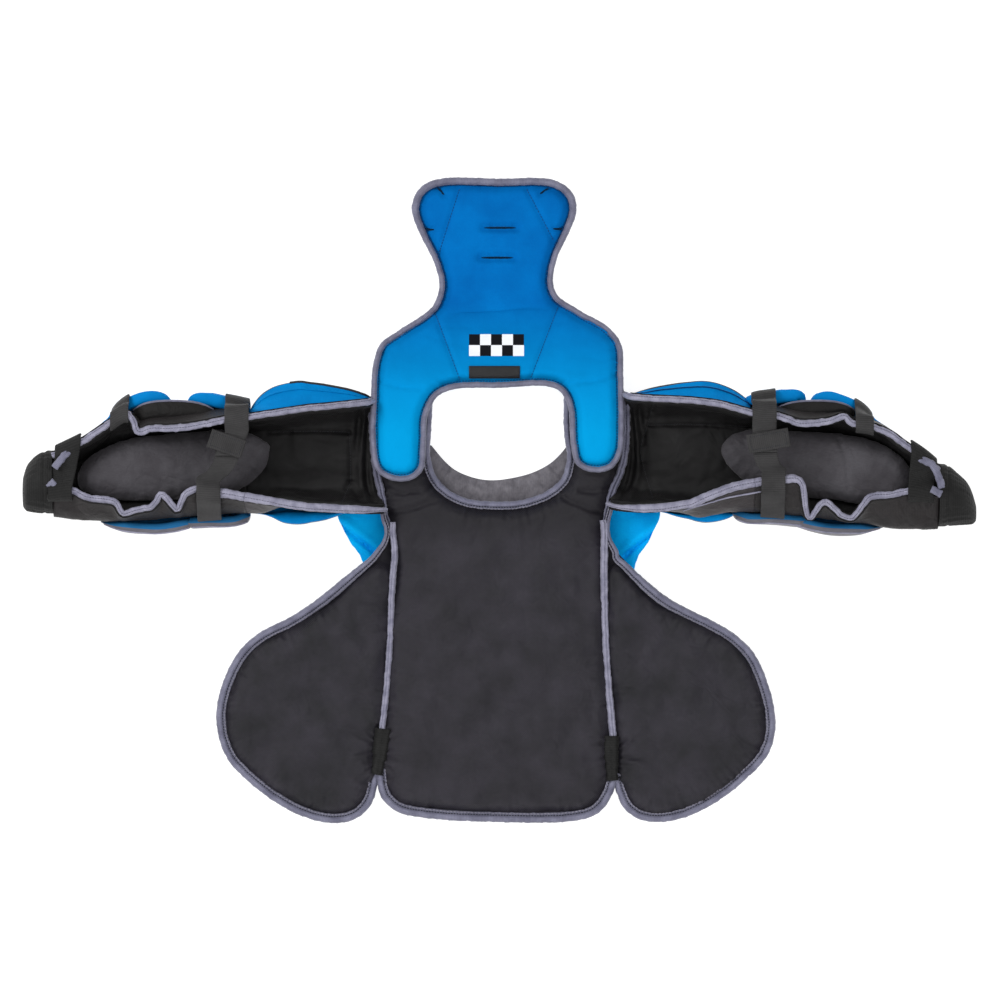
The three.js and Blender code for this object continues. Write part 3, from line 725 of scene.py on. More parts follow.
def swell(piece: Piece, hold: Array, cap: float) -> None:
    """Blows a pad up as cloth, with its seams held, and keeps the result.

    Args:
        piece: The pad.
        hold: How firmly each point is held, from 0 to 1.
        cap: The furthest that a point may move, in millimetres.
    """
    start = read_points(piece)
    group = piece.vertex_groups.new(name="held")
    for level in (0.25, 0.5, 0.75, 1.0):
        chosen = np.nonzero((hold > level - 0.125) & (hold <= level + 0.125))[0]
        group.add([int(i) for i in chosen], level, "REPLACE")
    cloth = piece.modifiers.new("swell", "CLOTH")
    cloth.settings.quality = 5
    cloth.settings.mass = 0.3
    cloth.settings.use_pressure = True
    cloth.settings.uniform_pressure_force = PRESSURE
    cloth.settings.vertex_group_mass = group.name
    cloth.settings.effector_weights.gravity = 0.0
    cloth.point_cache.frame_start = 1
    cloth.point_cache.frame_end = FRAMES
    scene = bpy.context.scene
    for step in range(1, FRAMES + 1):
        scene.frame_set(step)
    graph = bpy.context.evaluated_depsgraph_get()
    blown = piece.evaluated_get(graph).data
    flat = np.empty(len(blown.vertices) * 3)
    blown.vertices.foreach_get("co", flat)
    move = flat.reshape(-1, 3) / MM - start
    size = np.linalg.norm(move, axis=1, keepdims=True)
    piece.modifiers.clear()
    piece.vertex_groups.clear()
    scene.frame_set(1)
    write_points(piece, start + move * (cap * np.tanh(size / cap) / np.maximum(size, 1e-6)))


def refine(piece: Piece) -> None:
    """Adds one subdivision and keeps it, so that seams can be pressed in."""
    finer = piece.modifiers.new("finer", "SUBSURF")
    finer.levels = 1
    finer.render_levels = 1
    baked(piece)


def spread(piece: Piece, amount: Callable[[Array], Array]) -> None:
    """Pushes a pad's sides out, so that it fills the room up to its seams, and keeps it off the floor.

    Args:
        piece: The pad.
        amount: How far a side moves at each point, in millimetres.
    """
    points = read_points(piece)
    points[:, :2] += read_normals(piece)[:, :2] * np.broadcast_to(amount(points), len(points))[:, None]
    points[:, 2] = np.maximum(points[:, 2], 0.05)
    write_points(piece, points)


def upper_face(piece: Piece) -> tuple[Array, Array]:
    """A mesh's points, in millimetres, and how far each of them faces up."""
    return read_points(piece), ease(read_normals(piece)[:, 2], 0.15, 0.6)


def spot(points: Array, x: float, y: float, reach: float) -> Array:
    """A soft round spot in plan, from 1 at its middle to 0."""
    return np.exp(-((points[:, 0] - x) ** 2 + (points[:, 1] - y) ** 2) / reach ** 2)


def dents(points: Array, size: float, seed: int) -> Array:
    """Soft uneven dents about a size apart, from about -1 to 1."""
    shift = Vector((seed * 3.1, seed * 1.7, seed * 0.9))
    return np.array([noise.noise(Vector(p) / size + shift) for p in points]) * 1.6


def groove(points: Array, line: Line, depth: float, width: float) -> Array:
    """How far a sewn line draws the cloth down at each point."""
    away, along = line.near(points)
    return depth * hump(away, width) * (1.0 + 0.25 * wrinkle(along, 7.0, 11))


def loft(name: str, rings: Array, closed: bool = False) -> Piece:
    """Draws a ring along a row of places, with a map of its length and girth.

    Args:
        name: The piece's name.
        rings: Points as (place, turn, xyz), in millimetres.
        closed: Whether the last ring joins the first.

    Returns:
        The piece, with capped ends where it isn't closed.
    """
    count, turns = rings.shape[:2]
    shape = bmesh.new()
    turn, place = shape.verts.layers.int.new("turn"), shape.verts.layers.int.new("place")
    bmesh.ops.create_circle(shape, segments=turns, radius=1.0)
    for i, vert in enumerate(shape.verts):
        vert[turn] = i
        vert.co = Vector(rings[0][i]) * MM
    first = edges = shape.edges[:]
    for i in range(1, count):
        grown = bmesh.ops.extrude_edge_only(shape, edges=edges)["geom"]
        for vert in (g for g in grown if isinstance(g, bmesh.types.BMVert)):
            vert[place] = i
            vert.co = Vector(rings[i][vert[turn]]) * MM
        new = {g for g in grown if isinstance(g, bmesh.types.BMEdge)}
        edges = [e for e in new if e.verts[0][place] == i and e.verts[1][place] == i]
    if closed:
        bmesh.ops.bridge_loops(shape, edges=first + edges)
    else:
        for loop in (first, edges):
            bmesh.ops.contextual_create(shape, geom=loop)
    bmesh.ops.recalc_face_normals(shape, faces=shape.faces)
    arc = arc_of(rings.mean(axis=1))
    girth = float(steps_of(rings[0]).sum())
    uv = shape.loops.layers.uv.new("tape")
    for face in shape.faces:
        spans = {v[turn] for v in face.verts} >= {0, turns - 1}
        far = closed and {v[place] for v in face.verts} >= {0, count - 1}
        for corner in face.loops:
            at, around = corner.vert[place], corner.vert[turn]
            length = arc[-1] + 2.0 if far and at == 0 else arc[at]
            share = 1.0 if spans and around == 0 else around / turns
            corner[uv].uv = (length * MM, share * girth * MM)
    return new_piece(name, shape)


def shell(name: str, inner: Array, outer: Array, wraps: bool = False,
          turned: tuple[int, int] = (0, 0)) -> Piece:
    """Makes a wall between two faces, with the inner face, outer face and rim as its face groups.

    Args:
        name: The piece's name.
        inner: The inner face as (row, column, xyz), in millimetres.
        outer: The outer face, in the same way.
        wraps: Whether the last column meets the first.
        turned: How many first and last columns of the outer face take the rim's cloth, turned over there.

    Returns:
        The piece.
    """
    count, width = inner.shape[:2]
    shape = bmesh.new()
    index = shape.verts.layers.int.new("index")
    bmesh.ops.create_grid(shape, x_segments=count - 1, y_segments=width - 1, size=1.0)
    for vert in shape.verts:
        row = round((vert.co.x + 1.0) / 2.0 * (count - 1))
        column = round((vert.co.y + 1.0) / 2.0 * (width - 1))
        vert[index] = row * width + column
        vert.co = Vector(inner[row, column]) * MM
    along, across = arc_of(inner.mean(axis=1)), arc_of(inner.mean(axis=0))
    uv = shape.loops.layers.uv.new("tape")
    for face in shape.faces:
        for corner in face.loops:
            row, column = divmod(corner.vert[index], width)
            corner[uv].uv = (along[row] * MM, across[column] * MM)
    if wraps:
        bmesh.ops.remove_doubles(shape, verts=shape.verts, dist=1e-6)
    grown = bmesh.ops.extrude_face_region(shape, geom=shape.faces[:], use_keep_orig=True)["geom"]
    fresh = {g for g in grown if isinstance(g, bmesh.types.BMVert)}
    for vert in fresh:
        row, column = divmod(vert[index], width)
        vert.co = Vector(outer[row, column]) * MM
    for face in shape.faces:
        new = sum(v in fresh for v in face.verts)
        face.material_index = 0 if new == 0 else 1 if new == len(face.verts) else 2
        columns = [v[index] % width for v in face.verts]
        if face.material_index == 1 and (max(columns) <= turned[0] or min(columns) >= width - 1 - turned[1]):
            face.material_index = 2
    bmesh.ops.recalc_face_normals(shape, faces=shape.faces)
    return new_piece(name, shape)


def surface_normals(rows: Array, away_from: Array) -> Array:
    """Unit normals of a grid of points.

    Args:
        rows: The grid as (row, column, xyz).
        away_from: A point, or one for each row, that the normals point away from.

    Returns:
        The normals, in the grid's shape.
    """
    normal = unit(np.cross(np.gradient(rows, axis=0), np.gradient(rows, axis=1)))
    facing = ((rows - away_from) * normal).sum()
    return normal if facing > 0 else -normal


def graded(length: float, spacing: float, edge: float) -> Array:
    """Shares along a length that lie closer together near both ends, so that the ends can be rounded.

    Args:
        length: The length.
        spacing: Distance between places in its middle.
        edge: Length of each rounded end.

    Returns:
        Shares from 0 to 1.
    """
    near = [0.0, edge * 0.06, edge * 0.25, edge * 0.55]
    count = max(2, int((length - 2.0 * edge) / spacing) + 1)
    middle = np.linspace(edge, length - edge, count)
    return np.concatenate([near, middle, [length - n for n in reversed(near)]]) / length


def rounded(shares: Array, length: float, edge: float) -> Array:
    """How thick a rounded edge is at shares of a length, from 0 at its ends to 1."""
    inside = np.minimum(shares, 1.0 - shares) * length
    drop = 1.0 - np.clip(inside / edge, 0.0, 1.0)
    return np.sqrt(np.maximum(1.0 - drop * drop, 0.02))


@dataclass(frozen=True)
class TapeShape:
    """The section of a binding tape and how it puckers."""

    half_wide: float = 4.5
    half_tall: float = 6.0
    turns: int = 28
    notch: float = 0.24
    notch_wide: float = 10.0
    notch_at: float = 115.0
    pucker: float = 0.35
    pitch: float = 7.0
    seed: int = 1

    @classmethod
    def cord(cls, thick: float, seed: int) -> "TapeShape":
        """A thin round cord."""
        return cls(half_wide=thick / 2, half_tall=thick / 2, turns=8, notch=0.0, pucker=0.1, seed=seed)

    def rings(self, line: Line, up: Array = UP, girth: Array | float = 1.0) -> Array:
        """Sections along a line.

        Args:
            line: The tape's middle, with heights.
            up: The tape's own upward direction.
            girth: How wide the tape is, as a share of its full width.

        Returns:
            Points as (place, turn, xyz).
        """
        along = line.tangents()
        side = unit(np.cross(along, np.broadcast_to(up, along.shape)))
        rise = np.cross(side, along)
        angle = np.arange(self.turns) / self.turns * 2.0 * math.pi
        gap = (np.degrees(angle) - self.notch_at + 180.0) % 360.0 - 180.0
        dip = 1.0 - self.notch * hump(gap, self.notch_wide)
        square = (np.abs(np.cos(angle)) ** 3 + np.abs(np.sin(angle)) ** 3) ** (-1.0 / 3.0)
        arc = line.arc
        slant = arc[:, None] + 2.2 * np.cos(angle)[None] + 1.1 * np.sin(2.0 * angle)[None]
        swing = wrinkle(slant, self.pitch, self.seed)
        swing = swing + 0.5 * wrinkle(slant, self.pitch * 0.45, self.seed + 1)
        wide = self.half_wide * (np.cos(angle) * square * dip)[None] + self.pucker * swing * np.cos(angle)
        tall = self.half_tall * (np.sin(angle) * square * dip)[None] + self.pucker * swing * np.sin(angle)
        wide = wide + (0.5 * self.pucker * wrinkle(arc, self.pitch * 2.3, self.seed + 2))[:, None]
        wide = wide * np.broadcast_to(girth, len(along))[:, None]
        edge = line.points[:, None, :] + side[:, None, :] * wide[:, :, None]
        return edge + rise[:, None, :] * tall[:, :, None]

    def sew(self, name: str, line: Line, up: Array = UP, girth: Array | float = 1.0) -> Piece:
        """Makes the tape along a line."""
        return loft(name, self.rings(line, up, girth), line.closed)

    def thread(self, line: Line, up: Array = UP, girth: Array | float = 1.0, beside: float = 0.0) -> Line:
        """Finds where thread lies on the tape.

        Args:
            line: The tape's middle.
            up: The tape's own upward direction.
            girth: How wide the tape is, as a share.
            beside: Degrees round from the groove.

        Returns:
            The thread's line.
        """
        rings = self.rings(line, up, girth)
        turn = int(round((self.notch_at + beside) / 360.0 * self.turns)) % self.turns
        return Line(line.points + (rings[:, turn] - line.points) * 1.04, line.closed)


@dataclass(frozen=True)
class StitchRow:
    """A row of separate thread stitches."""

    length: float = 3.4
    gap: float = 1.5
    thick: float = 0.75

    def sew(self, name: str, lines: Sequence[Line]) -> Piece:
        """Lays stitches along lines with heights and joins them in one piece.

        Args:
            name: The piece's name.
            lines: Where the thread runs.

        Returns:
            The piece.
        """
        shape = bmesh.new()
        for line in lines:
            points = np.vstack([line.points, line.points[:1]]) if line.closed else line.points
            length = float(steps_of(points).sum())
            count = max(1, int(length / (self.length + self.gap)))
            middles = resample(points, (np.arange(count) + 0.5) / count)
            ends = resample(points, np.minimum((np.arange(count) + 0.6) / count, 1.0))
            for middle, end in zip(middles, ends):
                turn = Vector(end - middle).to_track_quat("X", "Z").to_matrix().to_4x4()
                thick = self.thick / 2.0 * MM
                size = Matrix.Diagonal((self.length / 2.0 * MM, thick, thick, 1.0))
                place = Matrix.Translation(Vector(middle) * MM) @ turn @ size
                bmesh.ops.create_icosphere(shape, subdivisions=1, radius=1.0, matrix=place)
        return new_piece(name, shape)


class Ground:
    """The upper face of finished pieces, for laying thread and labels on."""

    def __init__(self, piece: Piece) -> None:
        """Reads the piece as it is now."""
        self.tree = BVHTree.FromObject(piece, bpy.context.evaluated_depsgraph_get())

    def height(self, places: Array) -> Array:
        """Finds how high the upper face lies.

        Args:
            places: Places in plan, in millimetres.

        Returns:
            The height at each, or the last one found where there is no face.
        """
        found = []
        for place in places:
            above = Vector((place[0] * MM, place[1] * MM, 1.0))
            hit = self.tree.ray_cast(above, Vector((0.0, 0.0, -1.0)))[0]
            found.append(hit.z / MM if hit else (found[-1] if found else 0.0))
        return np.array(found)


# Body

def edge_puckers(away: Array, along: Array, seed: int) -> Array:
    """Depth of short folds across a sewn edge, which come in groups along it."""
    group = 0.35 + 0.65 * ease(wrinkle(along, 46.0, seed + 1), -0.3, 0.5)
    return 2.1 * hump(away, 16.0) * group * wrinkle(along, 7.4, seed)


def tab_puckers(points: Array, tab: tuple[float, float], depth: float) -> Array:
    """Folds that run away from the middle of an elastic tab.

    Args:
        points: The points.
        tab: The tab's middle in plan.
        depth: Depth of the folds.

    Returns:
        A depth for each point.
    """
    x, y = points[:, 0] - tab[0], points[:, 1] - tab[1]
    reach = np.exp(-((x / 24.0) ** 2) - (y / 27.0) ** 2)
    fan = y / (10.0 + np.abs(x)) * 10.0
    return depth * reach * (0.7 * np.sin(fan * 1.15 + 0.6) + 0.4 * np.sin(fan * 1.9 + np.abs(x) / 9.0))


def bind(node: str, line: Line, shape: TapeShape, ridge: Optional[float],
         girth: Array | float = 1.0) -> None:
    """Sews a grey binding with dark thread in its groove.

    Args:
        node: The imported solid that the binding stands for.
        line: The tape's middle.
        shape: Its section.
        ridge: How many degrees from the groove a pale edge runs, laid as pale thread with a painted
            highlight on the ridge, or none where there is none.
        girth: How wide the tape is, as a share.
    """
    settle(shape.sew(f"{node}_tape", line, girth=girth), [TAPE], node)
    groove_line = shape.thread(line, girth=girth)
    settle(StitchRow(2.6, 0.2, 1.3).sew(f"{node}_stitches", [groove_line]), [DARK_THREAD])
    if ridge is not None:
        edge_line = shape.thread(line, girth=girth, beside=ridge)
        settle(StitchRow(3.4, 0.1, 1.3).sew(f"{node}_edge", [edge_line]), [PALE_THREAD_HIGHLIGHT])


@dataclass
class ChestPanel:
    """The stuffed chest panel with its yoke, binding, piping and elastic tabs."""

    bottom: Rows = (
        (-113, -277), (-109.5, -292.5), (-98.5, -302.5), (-69, -308.5), (0, -312), (67, -311.5),
        (91.5, -305.5), (101.5, -293), (106.5, -279))
    right_seam: Rows = (
        (107, -270), (107, -246), (107, -232), (106, -200), (103.5, -140), (102, -60), (101, -25))
    right_armhole: Rows = ((104, -5), (108, 8), (118, 34), (122, 60), (122, 105))
    neck: Rows = (
        (73, 106), (73, 70), (76, 42), (69, 17), (51, 1), (22, -9), (-5, -10.5), (-36, -7), (-58, 4),
        (-72, 20), (-79, 45), (-78, 70), (-76, 106))
    left_armhole: Rows = ((-125, 104), (-122, 50), (-118, 22), (-113, 0), (-110, -15))
    left_seam: Rows = (
        (-109, -25), (-104, -60), (-106, -110), (-109, -180), (-112, -226), (-112, -240), (-112, -268))
    yoke_seams: tuple[Rows, ...] = (
        ((-112, -13), (-90, -9), (-66, -1)), ((106, -14), (88, -8), (62, 2)),
        ((-116, 12), (-98, 7), (-82, 9)), ((111, 12), (95, 8), (80, 10)))
    left_piping: Rows = (
        (-107.2, -22), (-107.3, -32), (-105.5, -47), (-105.5, -58), (-107.2, -76), (-108.7, -100),
        (-109.4, -130), (-111, -155), (-113.8, -192), (-116.5, -215), (-118.6, -234))
    right_piping: Rows = (
        (103.5, -20), (104.6, -30), (104.2, -60), (104.3, -90), (104.7, -110), (106.2, -150),
        (108.8, -190), (110.8, -211), (113.4, -240))
    left_tab: Rows = ((-116.5, -229), (-119.5, -250), (-123.5, -275))
    right_tab: Rows = ((110.5, -236), (110.8, -258), (112.5, -281))
    swell_cap: float = 7.0

    def edge(self) -> Line:
        """The pad's whole edge, as its solid has it."""
        runs = (self.bottom, self.right_seam, self.right_armhole, self.neck, self.left_armhole,
                self.left_seam)
        return Line(np.vstack([bend(run) for run in runs]), True)

    def build(self) -> None:
        """Makes the panel and everything sewn to it."""
        self.pad()
        self.tapes()
        for side in Side:
            self.seam(side)

    def pad(self) -> None:
        """Makes the stuffed panel."""
        piece = stuffed_copy("chest_panel", "chest_panel_pad", 4.2)
        points, edge = read_points(piece), self.edge()
        away, _ = edge.near(points)
        hold = np.maximum(1.0 - ease(away, 5.0, 16.0), ease(points[:, 1], -45.0, -18.0))
        hold = np.maximum(hold, ease(-points[:, 2], -10.0, -4.0))
        swell(piece, hold, self.swell_cap)
        refine(piece)
        spread(piece, lambda p: 2.0 + 4.0 * ease(np.abs(p[:, 0]), 86.0, 98.0) * ease(p[:, 1], -292.0, -278.0)
               + 5.0 * spot(p, -98.0, -292.0, 18.0))
        points, upper = upper_face(piece)
        for side in Side:
            points[:, 0] = self.kept(points, side, -1.2)
        away, along = edge.near(points)
        drop = sum(groove(points, Line.through(rows), 3.4, 2.4) for rows in self.yoke_seams)
        drop += 2.4 * hump(away, 5.0) + edge_puckers(away, along, 3)
        drop += tab_puckers(points, (-119.0, -252.0), 2.2) + tab_puckers(points, (114.0, -258.0), 2.2)
        body = ease(-points[:, 1], 0.0, 50.0)
        drop += (0.3 + 0.7 * body) * (2.1 * dents(points, 34.0, 1) + 0.8 * dents(points, 14.0, 2))
        points[:, 2] -= upper * drop
        write_points(piece, points)
        settle(piece, [CHEST_LINING], "chest_panel")

    @classmethod
    def kept(cls, points: Array, side: Side, clear: float) -> Array:
        """Keeps points on their own side of a piping.

        Args:
            points: A pad's points.
            side: Whose piping it is.
            clear: Room up to the piping's middle: above 0 for a wing, below 0 for the chest.

        Returns:
            Their places across the body.
        """
        line = bend(cls.left_piping if side is Side.LEFT else cls.right_piping)[::-1]
        middle = side.value * np.interp(points[:, 1], line[:, 1], line[:, 0])
        across = side.value * points[:, 0]
        held = np.maximum(across, middle + clear) if clear > 0.0 else np.minimum(across, middle + clear)
        inside = (points[:, 1] > line[0, 1]) & (points[:, 1] < line[-1, 1])
        near = inside & (np.abs(across - middle) < 14.0)
        return side.value * np.where(near, held, across)

    def tapes(self) -> None:
        """Binds the belly edge, the neckline and the armholes."""
        belly = ((-113.5, -269), *self.bottom, (109, -271))
        edges = ((belly, "belly_binding", 5.4, 5.5), (self.neck, "neck_binding", 4.5, 4.6))
        for rows, node, wide, out in edges:
            line = Line.through(rows).beside(out).raised(lambda p: np.full(len(p), 16.0))
            shape = TapeShape(half_wide=wide, half_tall=9.0, notch=0.42, notch_at=110.0, seed=4)
            bind(node, line, shape, 23.0)
        shape = TapeShape(
            half_wide=PIPE / 2 + 0.3, half_tall=11.0, notch=0.34, notch_at=90.0, pucker=0.6, seed=9)
        holes = ((*self.left_armhole, (-105.8, -24.0)), ((100, -23), *self.right_armhole))
        for side, rows in zip(Side, holes):
            line = Line.through(rows).beside(GAP + PIPE / 2).raised(lambda p: np.full(len(p), 19.0))
            girth = 0.62 + 0.38 * ease(line.points[:, 1], -12.0, 8.0)
            bind(f"{side.word}_armhole_binding", line, shape, None, girth)

    def seam(self, side: Side) -> None:
        """Makes the piping and the elastic tab between the chest and one wing.

        Args:
            side: Whose wing it is.
        """
        left = side is Side.LEFT
        node = f"{side.word}_seam_piping"
        run = Line.through(self.left_piping if left else self.right_piping)
        run = run.raised(lambda p: 18.5 + 6.5 * ease(p[:, 1], -118.0, -84.0))
        shape = TapeShape(
            half_wide=3.4 if left else 3.9, half_tall=10.0, notch=0.26, notch_at=75.0 if left else 105.0,
            notch_wide=9.0, pucker=0.35, seed=14)
        # The piping takes the lit copy of the binding: painted light.
        settle(shape.sew(f"{node}_tape", run), [LIT_TAPE], node)
        node = f"{side.word}_elastic_tab"
        rows = self.left_tab if left else self.right_tab
        run = Line.through(rows).raised(lambda p: 17.5 + 2.5 * ease(p[:, 1], rows[-1][1], rows[0][1]))
        shape = TapeShape(
            half_wide=8.4, half_tall=10.2, notch=0.12, notch_at=100.0, pucker=0.7, pitch=6.0, seed=21)
        girth = 0.76 + 0.24 * ease(-run.arc, -40.0, -14.0)
        settle(shape.sew(f"{node}_band", run, girth=girth), [ELASTIC], node)


@dataclass
class SideWing:
    """A stuffed side wing, its binding and the blue pad that is tucked under its top."""

    side: Side
    outer: Rows
    seam: Rows
    lead: Rows
    end: tuple[float, float]
    tip: Rows
    tape_out: float
    pad_trim: float
    pad_fold: Rows
    tab: tuple[float, float]
    fills: Rows = ()
    swell_cap: float = 6.0

    def rise(self, points: Array) -> Array:
        """How far the wing lies above the floor, on its side pad."""
        return 9.5 * ease(points[:, 1], -118.0, -88.0)

    def edge(self) -> Line:
        """The pad's edge inside the binding."""
        outwards = 1.0 if self.side is Side.LEFT else -1.0
        return Line.through(self.outer).beside(-outwards * (BINDING + GAP))

    def build(self) -> None:
        """Makes the wing, its binding, its thread and its side pad."""
        word = self.side.word
        self.pad(f"{word}_wing")
        outwards = 1.0 if self.side is Side.LEFT else -1.0
        edge = self.edge()
        rim = edge.beside(outwards * self.tape_out).points
        rim = rim[rim[:, 1] < self.lead[-1][1] - 6.0][:-4:6]
        rim = Line.through(np.vstack([self.lead, rim, [self.end]]))
        middle = rim.raised(lambda p: 13.8 + 1.25 * self.rise(p))
        notch, ridge = (110.0, 23.0) if self.side is Side.LEFT else (70.0, -23.0)
        shape = TapeShape(half_wide=5.1, half_tall=8.0, notch=0.42, notch_at=notch, seed=31)
        bind(f"{word}_wing_binding", middle, shape, ridge, 0.55 + 0.45 * ease(rim.arc, 20.0, 110.0))
        self.side_pad()

    def pad(self, node: str) -> None:
        """Makes the stuffed wing.

        Args:
            node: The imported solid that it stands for.
        """
        piece = stuffed_copy(node, f"{node}_pad", 4.2, self.tip, (11.5, 24.0))
        points = read_points(piece)
        edge = Line(np.vstack([self.edge().points[8:], bend(self.seam)]), True)
        away, _ = edge.near(points)
        hold = np.maximum(1.0 - ease(away, 4.0, 14.0), ease(-points[:, 2], -9.0, -4.0))
        swell(piece, hold, self.swell_cap)
        refine(piece)
        seam = Line(bend(self.seam))
        spread(piece, lambda p: 2.3 + 3.1 * (1.0 - ease(seam.near(p)[0], 6.0, 16.0))
               + sum(more * spot(p, x, y, reach) for x, y, reach, more in self.fills))
        points, upper = upper_face(piece)
        points[:, 0] = ChestPanel.kept(points, self.side, 1.2)
        away, along = edge.near(points)
        drop = 2.2 * hump(away, 5.0) + edge_puckers(away, along, 41)
        drop += tab_puckers(points, self.tab, 2.4)
        for level, depth in ((-108.0, 1.3), (-126.0, 0.8), (-205.0, 0.7)):
            across = points[:, 1] - level - 0.1 * (np.abs(points[:, 0]) - 120.0)
            drop += depth * hump(across, 3.5) * ease(-np.abs(points[:, 0]), -175.0, -135.0)
        drop += 2.6 * dents(points, 36.0, 5) + 1.0 * dents(points, 15.0, 6)
        points[:, 2] -= upper * drop
        write_points(piece, points)
        settle(piece, [LINING], node)

    def side_pad(self) -> None:
        """Makes the blue pad under the armpit, with its fold."""
        node = f"{self.side.word}_side_pad"
        piece = stuffed_copy(node, f"{node}_foam", 3.0)
        refine(piece)
        spread(piece, lambda p: 2.0)
        points, upper = upper_face(piece)
        points[:, 0] -= self.side.value * 9.0 * ease(-np.abs(points[:, 0]), -128.0, -116.0)
        outside = ease(np.abs(points[:, 0]), 128.0, 146.0)
        points[:, 0] -= self.side.value * self.pad_trim * outside * ease(-points[:, 1], 20.0, 58.0)
        points[:, 1] += 12.0 * ease(points[:, 1], -46.0, -24.0)
        fold = Line.through(self.pad_fold)
        away, _ = fold.near(points)
        points[:, 2] -= upper * (groove(points, fold, 5.0, 2.0) - 1.8 * hump(away - 6.0, 4.0))
        write_points(piece, points)
        # The side pad takes the lit copy of the foam: painted light against the sleeve's shade.
        settle(piece, [LIT_SIDE_FOAM], node)


